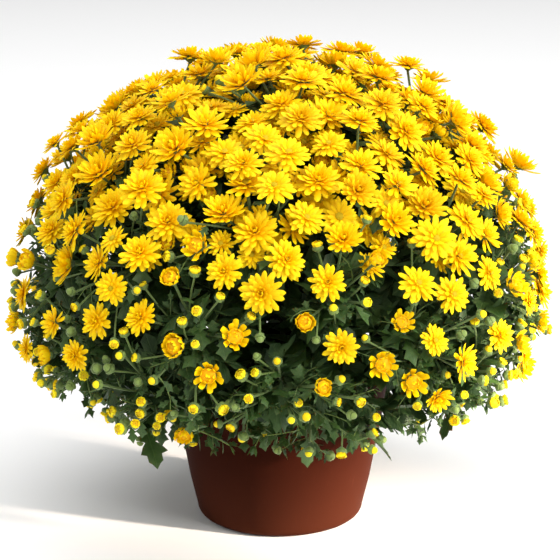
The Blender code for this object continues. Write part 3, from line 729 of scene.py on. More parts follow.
@dataclass(frozen=True)
class LeafFinish:
    """Dark green lobed leaves with a pale rib, faint side veins, a mottled blade and a greyer underside; a low
    tint darkens a leaf, partly at random and partly as painted shade deep in the mound.
    """

    # the darkest green, which a low tint gives: partly the leaves' own darker tone, partly painted shade on the
    # inner and top leaves
    dark_and_shaded_green: Colour = (0.012, 0.034, 0.007)
    green: Colour = (0.050, 0.112, 0.018)
    under: Colour = (0.080, 0.135, 0.045)
    vein: Colour = (0.115, 0.185, 0.048)
    veins: float = 7.0

    def material(self) -> bpy.types.Material:
        """The leaves' material."""
        nodes = NodeTree("leaf_green")
        across, along = nodes.uv()
        off_rib = nodes.maths("ABSOLUTE", nodes.maths("SUBTRACT", across, 0.5))
        rib = nodes.maths("SUBTRACT*", 1.0, nodes.maths("MULTIPLY", off_rib, 22.0))
        run = nodes.maths("SUBTRACT", along, nodes.maths("MULTIPLY", off_rib, 0.42))
        crest = nodes.maths("PINGPONG", nodes.maths("MULTIPLY", run, self.veins), 0.5)
        side = nodes.maths("SUBTRACT*", 1.0, nodes.maths("MULTIPLY", crest, 9.0))
        veins = nodes.maths("MAXIMUM", rib, nodes.maths("MULTIPLY", side, 0.45))
        place = nodes.add("TexCoord").outputs["Object"]
        mottle = nodes.noise(place, 190.0, 3.0)
        # a leaf's tint and mottle mix it from the darkest green to the plain green; the twig bands set low
        # tints as painted shade
        tone_and_painted_shade = nodes.maths("MULTIPLY*", nodes.attribute("tint"), nodes.maths("ADD", mottle, 0.5))
        colour = nodes.blend(tone_and_painted_shade, self.dark_and_shaded_green, self.green)
        colour = nodes.blend(nodes.maths("MULTIPLY", veins, 0.34), colour, self.vein)
        colour = nodes.blend(nodes.maths("MULTIPLY", nodes.attribute("core"), 0.6), colour, self.under)
        rough = nodes.maths("ADD", 0.42, nodes.maths("MULTIPLY", mottle, 0.22))
        nodes.settle({"Base Color": colour, "Roughness": rough, "Specular IOR Level": 0.35})
        nodes.settle({"Subsurface Weight": 0.05, "Subsurface Scale": 0.001})
        nodes.bump(nodes.maths("SUBTRACT", mottle, veins), 0.5, 0.0006)
        return nodes.material


@dataclass(frozen=True)
class StemFinish:
    """Green downy stems that turn brown and woody towards the soil, and the green cups under the heads."""

    green: Colour = (0.085, 0.155, 0.034)
    fresh: Colour = (0.230, 0.340, 0.060)
    wood: Colour = (0.060, 0.040, 0.022)

    def material(self) -> bpy.types.Material:
        """The stems' material."""
        nodes = NodeTree("stem_green")
        place = nodes.add("Mapping", {0: nodes.add("TexCoord").outputs["Object"], 3: (1.0, 1.0, 0.2)})
        grain = nodes.noise(place.outputs[0], 900.0, 3.0)
        colour = nodes.blend(nodes.attribute("tint"), self.green, self.fresh)
        colour = nodes.blend(nodes.attribute("age"), colour, self.wood)
        colour = nodes.blend(nodes.maths("MULTIPLY", grain, 0.55), colour, self.wood, "MULTIPLY")
        nodes.settle({"Base Color": colour, "Roughness": 0.62, "Sheen Weight": 0.15})
        nodes.bump(grain, 0.5, 0.0004)
        return nodes.material


@dataclass(frozen=True)
class PotFinish:
    """Terracotta coloured moulded plastic with a fine grain and faint scuffs, and lighter towards the bottom.
    """

    clay: Colour = (0.036, 0.0070, 0.0030)
    dark: Colour = (0.018, 0.0034, 0.0014)
    # the lighter clay colour of the scuffs and of the pot's lower part
    lighter_clay: Colour = (0.110, 0.031, 0.015)

    def material(self) -> bpy.types.Material:
        """The pot's material."""
        nodes = NodeTree("terracotta_plastic")
        place = nodes.add("TexCoord").outputs["Object"]
        cloud = nodes.noise(place, 9.0, 3.0)
        grain = nodes.noise(place, 1400.0, 2.0)
        long = nodes.add("Mapping", {0: place, 3: (1.0, 1.0, 0.12)})
        scratches = nodes.maths("SUBTRACT*", nodes.noise(long.outputs[0], 260.0, 4.0), 0.62)
        height = nodes.add("SeparateXYZ", {0: place}).outputs[2]
        # a mask that makes the pot lighter towards the bottom, fading out about nine centimetres up
        low = nodes.maths("SUBTRACT*", 1.0, nodes.maths("MULTIPLY", height, 11.0))
        colour = nodes.blend(nodes.maths("MULTIPLY*", cloud, 1.1), self.dark, self.clay)
        scuffs_and_bottom_lift = nodes.maths("ADD*", nodes.maths("MULTIPLY", scratches, 0.7), nodes.maths("MULTIPLY", low, 0.30))
        colour = nodes.blend(scuffs_and_bottom_lift, colour, self.lighter_clay)
        rough = nodes.maths("ADD", 0.46, nodes.maths("MULTIPLY", cloud, 0.16))
        nodes.settle({"Base Color": colour, "Roughness": rough, "Specular IOR Level": 0.015})
        nodes.bump(grain, 0.12, 0.0003)
        return nodes.material


@dataclass(frozen=True)
class SoilFinish:
    """Peat potting soil with bark flakes and white perlite grains."""

    peat: Colour = (0.016, 0.010, 0.007)
    bark: Colour = (0.075, 0.042, 0.022)
    perlite: Colour = (0.62, 0.60, 0.56)

    def material(self) -> bpy.types.Material:
        """The soil's material."""
        nodes = NodeTree("potting_soil")
        place = nodes.add("TexCoord").outputs["Object"]
        clods = nodes.noise(place, 320.0, 5.0)
        cells = nodes.add("TexVoronoi", {"Vector": place, "Scale": 260.0})
        spread_of_cells = nodes.add("SeparateColor", {0: cells.outputs["Color"]}).outputs[0]
        grains = nodes.maths("GREATER_THAN", spread_of_cells, 0.93)
        colour = nodes.blend(nodes.maths("MULTIPLY", clods, spread_of_cells), self.peat, self.bark)
        colour = nodes.blend(grains, colour, self.perlite)
        nodes.settle({"Base Color": colour, "Roughness": 0.95, "Specular IOR Level": 0.15})
        nodes.bump(clods, 0.9, 0.002)
        return nodes.material


def deselect() -> None:
    """Leaves nothing selected, so that an operator acts on the new piece alone."""
    bpy.ops.object.select_all(action="DESELECT")


def select(thing: Thing) -> None:
    """Makes a piece the active one and the only one selected."""
    deselect()
    thing.select_set(True)
    bpy.context.view_layer.objects.active = thing


def edit(*steps: Callable[[], object]) -> None:
    """Runs steps in edit mode on all of the active piece."""
    bpy.ops.object.mode_set(mode="EDIT")
    bpy.ops.mesh.select_all(action="SELECT")
    for step in steps:
        step()
    bpy.ops.object.mode_set(mode="OBJECT")


def weld(distance: float = 0.0001) -> None:
    """Merges points that lie together, in edit mode."""
    bpy.ops.mesh.remove_doubles(threshold=distance)


def face_out() -> None:
    """Turns all faces outwards, in edit mode."""
    bpy.ops.mesh.normals_make_consistent(inside=False)


def mark(thing: Thing, **values: float | Sequence[float]) -> None:
    """Stores a number at each point of a mesh, for its material to read."""
    mesh = thing.data
    for name in ("tint", "age", "core"):
        layer = mesh.attributes.get(name) or mesh.attributes.new(name, "FLOAT", "POINT")
        if name in values:
            layer.data.foreach_set("value", np.broadcast_to(np.float32(values[name]), len(mesh.vertices)))


def shift(thing: Thing, name: str, amount: float) -> None:
    """Adds to a number that the mesh carries at each point."""
    layer = thing.data.attributes[name]
    values = np.empty(len(layer.data), np.float32)
    layer.data.foreach_get("value", values)
    layer.data.foreach_set("value", values + np.float32(amount))


def finish_template(thing: Thing, name: str, material: bpy.types.Material) -> Thing:
    """Names a template, shades it smooth and gives it its material.

    Args:
        thing: A piece that copies will be made of.
        name: Its name.
        material: Its material.

    Returns:
        The template.
    """
    thing.name = thing.data.name = name
    select(thing)
    bpy.ops.object.shade_smooth_by_angle(angle=math.radians(64))
    thing.data.materials.clear()
    thing.data.materials.append(material)
    return thing


def copy_of(template: Thing, matrix: Matrix, **shifts: float) -> Thing:
    """A copy with its own mesh, placed by a matrix, with its stored numbers shifted, to be joined later.

    Args:
        template: The piece to copy.
        matrix: Its place.
        shifts: What is added to each stored number.

    Returns:
        The copy.
    """
    thing = template.copy()
    thing.data = template.data.copy()
    thing.data.transform(matrix)
    for name, amount in shifts.items():
        shift(thing, name, amount)
    return thing


def join(things: Sequence[Thing], name: str) -> Thing:
    """Joins pieces into one mesh of this name."""
    deselect()
    for thing in things:
        if not thing.users_collection:
            bpy.context.scene.collection.objects.link(thing)
        thing.select_set(True)
    bpy.context.view_layer.objects.active = things[0]
    if len(things) > 1:
        bpy.ops.object.join()
    joined = bpy.context.view_layer.objects.active
    joined.name = joined.data.name = name
    return joined


def hand_in(piece: Thing, node: str) -> None:
    """Rides a finished piece on the plant, in place of its node."""
    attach(piece, "root")
    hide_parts(node)
    LOG.info("%s: %d triangles", piece.name, sum(len(face.vertices) - 2 for face in piece.data.polygons))


def place_matrix(origin: Vector, up: Vector, along: Vector, scale: Vector | float) -> Matrix:
    """The matrix that stands a template at a place.

    Args:
        origin: Where its origin goes.
        up: Where its +Z points.
        along: Where its +Y points, as nearly as up lets it.
        scale: Its size, or its size across, along and up.

    Returns:
        The matrix.
    """
    side = along.cross(up).normalized()
    ahead = up.cross(side).normalized()
    turn = Matrix((side, ahead, up.normalized())).transposed().to_4x4()
    size = Vector((scale, scale, scale)) if isinstance(scale, float) else scale
    return Matrix.Translation(origin) @ turn @ Matrix.Diagonal((*size, 1.0))


@dataclass
class Blade:
    """A thin closed blade from its root at the origin along +Y, with its upper side up +Z.

    Each row of the outline gives its share of the length, its half width and how far its edges lean ahead.
    A fold above nought raises the edges; one below nought lowers them, and the underside is then plain.
    """

    name: str
    outline: Sequence[tuple[float, float, float]]
    fold: float = 0.0
    curl: float = 0.0
    twist: float = 0.0
    thickness: float = 0.03
    under: float = 1.0

    def build(self, material: bpy.types.Material) -> Thing:
        """Models the blade from a grid for each side, welded round the edge.

        Args:
            material: What it is made of.

        Returns:
            The blade, of length one.
        """
        deselect()
        rows = len(self.outline) - 1
        grid = {"y_subdivisions": rows, "size": 2, "calc_uvs": True, "location": (0, 0, 0)}
        bpy.ops.mesh.primitive_grid_add(x_subdivisions=2, **grid)
        thing = bpy.context.object
        bpy.ops.object.mode_set(mode="EDIT")
        bpy.ops.mesh.select_all(action="DESELECT")
        bpy.ops.mesh.primitive_grid_add(x_subdivisions=1 if self.fold < 0 else 2, **grid)
        bpy.ops.mesh.flip_normals()
        bpy.ops.object.mode_set(mode="OBJECT")
        mesh = thing.data
        below = {v for face in mesh.polygons if face.normal.z < 0 for v in face.vertices}
        for vertex in mesh.vertices:
            vertex.co = self.shape(vertex.co, vertex.index in below)
        mark(thing, tint=0.0, age=0.0, core=[self.under * (v in below) for v in range(len(mesh.vertices))])
        edit(weld, lambda: bpy.ops.mesh.fill_holes(sides=3), face_out)
        return finish_template(thing, self.name, material)

    def shape(self, point: Vector, below: bool) -> Vector:
        """Where a point of the flat grid goes on the blade."""
        across = point.x
        row = round((point.y + 1) / 2 * (len(self.outline) - 1))
        share, half, ahead = self.outline[row]
        share += ahead * abs(across)
        turn = self.curl * share
        out = math.sin(turn) / self.curl if self.curl else share
        rise = (1 - math.cos(turn)) / self.curl if self.curl else 0.0
        at_edge = abs(across) > 0.5 or row in (0, len(self.outline) - 1)
        lift = self.fold * abs(across) * half + self.twist * across * half * share
        if not at_edge:
            lift += -0.5 * self.thickness if below else 0.5 * self.thickness
        return Vector((across * half, out - lift * math.sin(turn), rise + lift * math.cos(turn)))


@dataclass
class Lathe:
    """A round solid turned about +Z from a profile of (radius, height) points."""

    name: str
    profile: Sequence[Span]
    steps: int

    def build(self, material: bpy.types.Material) -> Thing:
        """Models the solid by extruding its profile and spinning it.

        Args:
            material: What it is made of.

        Returns:
            The solid.
        """
        deselect()
        bpy.ops.mesh.primitive_plane_add(size=1)
        thing = bpy.context.object
        edit(lambda: bpy.ops.mesh.merge(type="CENTER"))
        thing.data.vertices[0].co = (self.profile[0][0], 0, self.profile[0][1])
        bpy.ops.object.mode_set(mode="EDIT")
        bpy.ops.mesh.select_all(action="SELECT")
        for (radius, height), (to_radius, to_height) in zip(self.profile, self.profile[1:]):
            move = (to_radius - radius, 0, to_height - height)
            bpy.ops.mesh.extrude_vertices_move(TRANSFORM_OT_translate={"value": move})
        bpy.ops.mesh.select_all(action="SELECT")
        bpy.ops.mesh.spin(steps=self.steps, angle=math.tau, center=(0, 0, 0), axis=(0, 0, 1))
        bpy.ops.mesh.select_all(action="SELECT")
        weld(0.00001)
        face_out()
        bpy.ops.object.mode_set(mode="OBJECT")
        mark(thing, tint=0.0, age=0.0, core=0.0)
        return finish_template(thing, self.name, material)


@dataclass
class Tube:
    """A closed round stem template, one high, with rings to bend it by."""

    sides: int
    rings: int

    def build(self, material: bpy.types.Material) -> Thing:
        """Models the tube from a cylinder cut across.

        Args:
            material: What it is made of.

        Returns:
            The tube, of radius one, from nought to one up +Z.
        """
        deselect()
        bpy.ops.mesh.primitive_cylinder_add(vertices=self.sides, radius=1, depth=1, location=(0, 0, 0.5))
        thing = bpy.context.object
        bpy.ops.object.transform_apply(location=True, rotation=True, scale=True)
        for ring_index in range(1, self.rings):
            height = ring_index / self.rings
            edit(lambda: bpy.ops.mesh.bisect(plane_co=(0, 0, height), plane_no=(0, 0, 1)))
        mark(thing, tint=0.0, age=0.0, core=0.0)
        return finish_template(thing, "tube", material)


@dataclass(frozen=True)
class StemKind:
    """How thick a kind of stem is at its start and at its end, and how fresh and how woody it looks."""

    thick: float
    thin: float
    fresh: float
    woody: float


TWIG_STEM = StemKind(0.016, 0.009, 0.3, 0.0)
FLOWER_STEM = StemKind(0.0011, 0.0013, 0.25, 0.05)
BUD_STEM = StemKind(0.0008, 0.0010, 0.5, 0.0)
SPUR = StemKind(0.0008, 0.0009, 0.4, 0.0)
STALK = StemKind(0.0019, 0.0021, 0.1, 0.25)
FOOT = StemKind(0.0030, 0.0030, 0.0, 1.0)
TRUNK = StemKind(0.0030, 0.0026, 0.0, 0.75)
SHOOT = StemKind(0.0022, 0.0019, 0.05, 0.4)
SKIRT_SHOOT = StemKind(0.0021, 0.0012, 0.15, 0.2)
RIM_SHOOT = StemKind(0.0017, 0.0011, 0.2, 0.15)
SIDE_SHOOT = StemKind(0.0012, 0.0009, 0.2, 0.1)


def path_sums(path: Path) -> list[float]:
    """The length of a path up to each of its points."""
    sums = [0.0]
    for start, end in zip(path, path[1:]):
        sums.append(sums[-1] + (end - start).length)
    return sums


class Bender:
    """Bends copies of the tube along curves."""

    def __init__(self, tube: Thing) -> None:
        """Takes the tube to copy."""
        self.tube = tube

    def stem(self, path: Path, kind: StemKind) -> Thing:
        """A stem along a path.

        Args:
            path: Points along the middle of the stem.
            kind: How thick it is and how it looks.

        Returns:
            The stem.
        """
        thing = copy_of(self.tube, Matrix.Identity(4), tint=kind.fresh, age=kind.woody)
        lengths = path_sums(path)
        reference = (path[-1] - path[0]).orthogonal()
        for vertex in thing.data.vertices:
            share = min(1.0, max(0.0, vertex.co.z))
            centre, way = self.along(path, lengths, share)
            side = (reference - way * reference.dot(way)).normalized()
            radius = kind.thick + (kind.thin - kind.thick) * share
            vertex.co = centre + (side * vertex.co.x + way.cross(side) * vertex.co.y) * radius
        return thing

    @staticmethod
    def along(path: Path, lengths: Sequence[float], share: float) -> tuple[Vector, Vector]:
        """The point at a share of a path's length, and the way that the path runs there."""
        wanted = share * lengths[-1]
        index = next((k for k in range(len(path) - 2) if lengths[k + 1] > wanted), len(path) - 2)
        start, end = path[index], path[index + 1]
        step = (wanted - lengths[index]) / (lengths[index + 1] - lengths[index])
        before = (path[index] - path[index - 1]).normalized() if index else (end - start).normalized()
        return start.lerp(end, step), (before.lerp((end - start).normalized(), 0.5 + 0.5 * step)).normalized()


@dataclass(frozen=True)
class PetalRow:
    """One row of petals, in shares of the head's radius, with its lift and curl in degrees."""

    count: int
    length: float
    half: float
    lift: float
    curl: float
    out: float
    height: float

    SHAPES = (
        ((0.0, 0.38, 0.0), (0.3, 0.74, 0.0), (0.62, 1.0, 0.0), (0.88, 0.80, -0.01), (1.0, 0.30, -0.03)),
        ((0.0, 0.42, 0.0), (0.45, 0.95, 0.0), (0.82, 0.85, 0.0), (1.0, 0.30, -0.04)),
        ((0.0, 0.45, 0.0), (0.62, 1.0, 0.0), (1.0, 0.40, -0.04)),
    )

    def petal(self, name: str, material: bpy.types.Material, shape: int) -> Thing:
        """Models the row's petal, of length one, in a finer or plainer shape."""
        width = self.half / self.length
        outline = [(share, across * width, ahead) for share, across, ahead in self.SHAPES[shape]]
        blade = Blade(name, outline, fold=-0.34, curl=math.radians(self.curl), thickness=0.02, under=0.10)
        return blade.build(material)


@dataclass
class Bloom:
    """A flower head of radius one that faces +Z, of petals in rows round a small centre."""

    name: str
    rows: Sequence[PetalRow]
    jitter: float = 7.0
    centre: float = 0.11
    centre_height: float = 0.06
    shapes: Sequence[int] = (0, 1, 2, 2, 2)
    centre_core: float = 0.75
    centre_age: float = 0.0
    fill: float = 0.0

    PETAL_SIZES = (0.84, 1.06)
    PETAL_TINTS = (-0.06, 0.14)
    ROW_TINT = 0.03
    FILL_AGE = 0.25

    def build(self, material: bpy.types.Material, draw: random.Random) -> Thing:
        """Models the head from copies of one petal for each row.

        Args:
            material: The petals' material.
            draw: Where the small differences between petals come from.

        Returns:
            The head.
        """
        pieces = []
        for index, row in enumerate(self.rows):
            petal = row.petal("petal", material, self.shapes[index])
            first = draw.uniform(0, math.tau)
            for k in range(row.count):
                around = first + math.tau * k / row.count + math.radians(draw.uniform(-0.7, 0.7) * self.jitter)
                lift = math.radians(row.lift + draw.uniform(-1.0, 1.0) * self.jitter)
                roll = math.radians(draw.uniform(-1.5, 1.5) * self.jitter)
                size = row.length * draw.uniform(*self.PETAL_SIZES)
                matrix = (
                    Matrix.Rotation(around, 4, "Z")
                    @ Matrix.Translation((0, row.out, row.height))
                    @ Matrix.Rotation(lift, 4, "X")
                    @ Matrix.Rotation(roll, 4, "Y")
                    @ Matrix.Scale(size, 4)
                )
                tint = draw.uniform(*self.PETAL_TINTS) - self.ROW_TINT * index
                pieces.append(copy_of(petal, matrix, tint=tint))
            bpy.data.objects.remove(petal)
        pieces.append(self.button(self.centre, self.centre_height).build(material))
        shift(pieces[-1], "core", self.centre_core)
        shift(pieces[-1], "age", self.centre_age)
        if self.fill:
            pieces.append(self.button(self.fill, self.centre_height - 0.3 * self.fill).build(material))
            shift(pieces[-1], "age", self.FILL_AGE)
        return join(pieces, self.name)

    @staticmethod
    def button(radius: float, height: float) -> Lathe:
        """A low dome in the middle of a head."""
        rise = 0.4 * radius
        shoulder = (0.7 * radius, height + 0.6 * rise)
        return Lathe("button", ((0, height + rise), shoulder, (radius, height), (0, height - rise)), 7)


@dataclass
class Cup:
    """The green cup under a head or bud, of radius one, with pointed scales round it.

    The scales stand out from the axis at a height, with a length, a half width and a lift and curl in degrees.
    """

    name: str
    profile: Sequence[Span]
    scales: int
    out: float
    height: float
    length: float
    half: float
    lift: float
    curl: float

    STEPS = 7

    def build(self, material: bpy.types.Material) -> Thing:
        """Models the cup and its scales.

        Args:
            material: The stems' material.

        Returns:
            The cup.
        """
        pieces = [Lathe(self.name, self.profile, self.STEPS).build(material)]
        half = self.half / self.length
        outline = ((0.0, half, 0.0), (0.5, 0.85 * half, 0.0), (1.0, 0.0, 0.0))
        scale = Blade("scale", outline, fold=-0.2, curl=math.radians(self.curl), thickness=0.12).build(material)
        for k in range(self.scales):
            matrix = (
                Matrix.Rotation(math.tau * (k + 0.5 * (k % 2)) / self.scales, 4, "Z")
                @ Matrix.Translation((0, self.out, self.height))
                @ Matrix.Rotation(math.radians(self.lift), 4, "X")
                @ Matrix.Scale(self.length, 4)
            )
            pieces.append(copy_of(scale, matrix, tint=-0.2 if k % 2 else 0.1))
        bpy.data.objects.remove(scale)
        return join(pieces, self.name)


@dataclass
class Twig:
    """A leafy twig of length one that grows along +Y with its light from +Z.

    Its leaves run from the first length to the last one, and tips small narrow ones close its end.
    """

    name: str
    leaves: int
    arch: float
    opening: float
    first: float = 0.50
    last: float = 0.28
    tips: int = 3

    def build(self, nursery: Nursery, leaves: Sequence[Thing], draw: random.Random) -> Thing:
        """Models the twig from copies of leaves.

        Args:
            nursery: Where the stem and the narrow leaves come from.
            leaves: The leaves to choose from.
            draw: Where the small differences between leaves come from.

        Returns:
            The twig.
        """
        path = bezier(Vector((0, 0, 0)), Vector((0, 0.5, self.arch)), Vector((0, 1, 0)), 4)
        pieces = [nursery.thin.stem(path, TWIG_STEM)]
        sums = path_sums(path)
        turn = draw.uniform(0, math.tau)
        for k in range(self.leaves):
            share = 0.14 + 0.80 * k / (self.leaves - 1)
            turn += GOLDEN + draw.uniform(-0.3, 0.3)
            root, axis = Bender.along(path, sums, share)
            along = turned(axis, turn, 0.75 - 0.3 * self.opening * (1 - share))
            along = (along + Vector((0, 0.25, -0.12))).normalized()
            light = Vector((draw.uniform(-0.2, 0.2), 0.5, 1.0))
            size = (self.first + (self.last - self.first) * share) * draw.uniform(0.85, 1.1)
            matrix = place_matrix(root, light - along * along.dot(light), along, size)
            pieces.append(copy_of(draw.choice(leaves), matrix, tint=draw.uniform(-0.18, 0.18)))
        for k in range(self.tips):
            along = turned(Vector((0, 1, 0)), math.tau * k / self.tips + 0.5, 1.6)
            matrix = place_matrix(path[-1], Vector((0, 0, 1)) - along * along.z, along, 0.24)
            pieces.append(copy_of(nursery.narrow, matrix, tint=0.25))
        return join(pieces, self.name)


class Nursery:
    """Models every flower, cup and leaf once, to be copied all over the plant."""

    FULL = (
        PetalRow(15, 0.90, 0.142, 5, -12, 0.12, -0.13),
        PetalRow(13, 0.80, 0.132, 15, 0, 0.10, -0.09),
        PetalRow(11, 0.63, 0.118, 28, 16, 0.09, -0.05),
        PetalRow(8, 0.47, 0.102, 42, 28, 0.07, -0.03),
        PetalRow(6, 0.33, 0.086, 58, 40, 0.04, -0.01),
    )
    FLAT = (
        PetalRow(15, 0.93, 0.140, 1, -16, 0.10, -0.08),
        PetalRow(13, 0.80, 0.130, 9, -6, 0.10, -0.06),
        PetalRow(11, 0.62, 0.116, 20, 8, 0.09, -0.04),
        PetalRow(8, 0.43, 0.100, 36, 20, 0.07, -0.02),
    )
    LOOSE = (
        PetalRow(12, 0.95, 0.138, 8, 2, 0.10, -0.13),
        PetalRow(11, 0.78, 0.128, 20, 8, 0.10, -0.08),
        PetalRow(8, 0.57, 0.112, 36, 20, 0.08, -0.04),
        PetalRow(6, 0.38, 0.092, 54, 34, 0.05, -0.02),
    )
    YOUNG = (
        PetalRow(14, 0.98, 0.142, 20, 12, 0.12, -0.20),
        PetalRow(12, 0.86, 0.130, 32, 22, 0.10, -0.14),
        PetalRow(10, 0.68, 0.116, 46, 36, 0.08, -0.08),
        PetalRow(7, 0.50, 0.098, 60, 50, 0.05, -0.04),
    )
    HALF_OPEN = (
        PetalRow(12, 1.22, 0.245, 36, 58, 0.26, -0.40),
        PetalRow(9, 1.00, 0.220, 50, 70, 0.18, -0.30),
        PetalRow(6, 0.74, 0.180, 64, 78, 0.10, -0.20),
    )
    LOOSE_HALF = (
        PetalRow(11, 1.24, 0.225, 26, 40, 0.24, -0.38),
        PetalRow(9, 1.02, 0.205, 42, 54, 0.18, -0.28),
        PetalRow(6, 0.78, 0.170, 58, 66, 0.10, -0.18),
    )
    BUTTON = (PetalRow(9, 0.98, 0.330, 46, 112, 0.62, -0.04),)
    BUD_DOME = ((0, 0.90), (0.34, 0.80), (0.60, 0.52), (0.66, 0.20), (0, 0.1))
    CUP = Cup(
        "cup",
        ((0, -0.36), (0.08, -0.36), (0.26, -0.20), (0.31, -0.12), (0, -0.10)),
        scales=6,
        out=0.26, height=-0.20, length=0.20, half=0.09, lift=40.0, curl=30.0,
    )
    DEEP_CUP = Cup(
        "deep_cup",
        ((0, -0.64), (0.12, -0.63), (0.32, -0.50), (0.52, -0.28), (0.56, -0.10), (0, -0.06)),
        scales=9,
        out=0.42, height=-0.42, length=0.52, half=0.17, lift=62.0, curl=40.0,
    )
    BUD_CUP = Cup(
        "bud_cup",
        ((0, -0.98), (0.24, -0.95), (0.72, -0.60), (0.90, -0.14), (0.80, 0.10), (0, 0.10)),
        scales=7,
        out=0.82, height=-0.40, length=0.60, half=0.28, lift=80.0, curl=50.0,
    )
    LOBED = (
        (0.0, 0.018, 0.0),
        (0.12, 0.020, 0.0),
        (0.24, 0.120, 0.0),
        (0.31, 0.235, 0.04),
        (0.43, 0.115, -0.01),
        (0.51, 0.200, 0.0),
        (0.60, 0.300, 0.07),
        (0.70, 0.165, 0.0),
        (0.79, 0.160, 0.05),
        (0.88, 0.090, 0.01),
        (1.0, 0.0, 0.0),
    )
    SMALL_LOBED = (
        (0.0, 0.022, 0.0),
        (0.14, 0.040, 0.0),
        (0.31, 0.240, 0.05),
        (0.43, 0.130, 0.0),
        (0.60, 0.300, 0.07),
        (0.74, 0.150, 0.02),
        (1.0, 0.0, 0.0),
    )
    NARROW = ((0.0, 0.03, 0.0), (0.3, 0.10, 0.0), (0.62, 0.125, 0.0), (1.0, 0.0, 0.0))
    BROAD = ((0.0, 0.04, 0.0), (0.3, 0.25, 0.05), (0.66, 0.28, 0.08), (1.0, 0.0, 0.0))

    def __init__(self) -> None:
        """Models all templates."""
        draw = random.Random(DRESS_SEED)
        petals = PetalFinish().material()
        leaf = LeafFinish().material()
        green = StemFinish().material()
        self.open = [
            Bloom("bloom_full", self.FULL).build(petals, draw),
            Bloom("bloom_full_b", self.FULL, jitter=10.0).build(petals, draw),
            Bloom("bloom_flat", self.FLAT, jitter=8.0, centre=0.15, centre_height=0.04).build(petals, draw),
            Bloom("bloom_loose", self.LOOSE, jitter=11.0, centre=0.16, centre_height=0.05).build(petals, draw),
            Bloom("bloom_young", self.YOUNG).build(petals, draw),
        ]
        plain = {"centre": 0.20, "centre_height": 0.03, "shapes": (1, 2, 2)}
        self.under = [
            Bloom("bloom_under", self.FLAT[:3], jitter=8.0, **plain).build(petals, draw),
            Bloom("bloom_under_b", self.LOOSE[:3], jitter=10.0, **plain).build(petals, draw),
        ]
        opening = {"centre": 0.20, "shapes": (0, 2, 2), "centre_core": 0.1, "centre_age": 0.3, "fill": 0.60}
        self.half = [
            Bloom("half_bloom", self.HALF_OPEN, jitter=6.0, centre_height=0.42, **opening).build(petals, draw),
            Bloom("half_b", self.LOOSE_HALF, jitter=9.0, centre_height=0.34, **opening).build(petals, draw),
        ]
        closed = {"centre_height": 0.62, "shapes": (2,), "centre_core": 0.2, "centre_age": 0.60, "fill": 0.66}
        self.button = Bloom("button_petals", self.BUTTON, jitter=4.0, centre=0.20, **closed).build(petals, draw)
        shift(self.button, "tint", 0.45)
        self.tip = Lathe("bud_tip", self.BUD_DOME, 8).build(petals)
        shift(self.tip, "tint", 0.60)
        shift(self.tip, "core", 0.20)
        self.green_tip = Lathe("bud_tip_green", self.BUD_DOME, 8).build(green)
        self.cup = self.CUP.build(green)
        self.deep_cup = self.DEEP_CUP.build(green)
        self.bud_cup = self.BUD_CUP.build(green)
        self.large_leaf = Blade("leaf_large", self.LOBED, fold=0.22, curl=-0.36, thickness=0.020).build(leaf)
        small, drooping = {"fold": -0.16, "curl": -0.50}, {"fold": -0.30, "curl": -1.0, "twist": 0.2}
        raised = {"fold": 0.45, "curl": 0.30, "twist": -0.25}
        self.leaves = [
            Blade("leaf", self.SMALL_LOBED, thickness=0.024, **small).build(leaf),
            Blade("leaf_drooping", self.SMALL_LOBED, thickness=0.024, **drooping).build(leaf),
            Blade("leaf_raised", self.SMALL_LOBED, thickness=0.020, **raised).build(leaf),
        ]
        self.narrow = Blade("leaf_narrow", self.NARROW, fold=-0.25, curl=-0.6).build(leaf)
        self.bender = Bender(Tube(sides=6, rings=4).build(green))
        self.thin = Bender(Tube(sides=5, rings=3).build(green))
        self.twigs = [
            Twig("twig", leaves=8, arch=0.10, opening=0.40).build(self, self.leaves, draw),
            Twig("twig_open", leaves=9, arch=-0.05, opening=0.9).build(self, self.leaves, draw),
            Twig("twig_arched", leaves=7, arch=0.25, opening=0.3).build(self, self.leaves, draw),
        ]
        self.inner_leaf = Blade("leaf_inner", self.BROAD, fold=-0.2, curl=-0.5).build(leaf)
        bare = {"leaves": 8, "first": 0.80, "last": 0.60, "tips": 0}
        self.inner_twigs = [
            Twig("twig_inner", arch=0.10, opening=0.8, **bare).build(self, [self.inner_leaf], draw),
            Twig("twig_inner_b", arch=-0.10, opening=0.5, **bare).build(self, [self.inner_leaf], draw),
        ]

    def clear(self) -> None:
        """Removes the templates when all copies are made."""
        templates = [*self.open, *self.under, *self.half, *self.leaves, *self.twigs, *self.inner_twigs]
        templates += [self.button, self.tip, self.green_tip, self.cup, self.deep_cup, self.bud_cup]
        templates += [self.large_leaf, self.inner_leaf, self.narrow, self.bender.tube, self.thin.tube]
        for thing in templates:
            bpy.data.objects.remove(thing)


@dataclass
class Site:
    """A place on a stem that a twig may leave, with the lists that take what grows there."""

    point: Vector
    axis: Vector
    greens: Things
    petals: Things


@dataclass(frozen=True)
class TwigBand:
    """Leafy twigs that reach points spread under a band of the dome, some with a bud on the end.

    The band runs between two angles from the top, in degrees. An inner one has broad plain leaves.
    """

    count: int
    first: float
    last: float
    depths: Span
    lengths: Span
    buds: float = 0.0
    # how light the band's twigs are: a low tint is painted shade, darker green under the heads and deep in the
    # mound
    tint: float = 0.4
    inner: bool = False


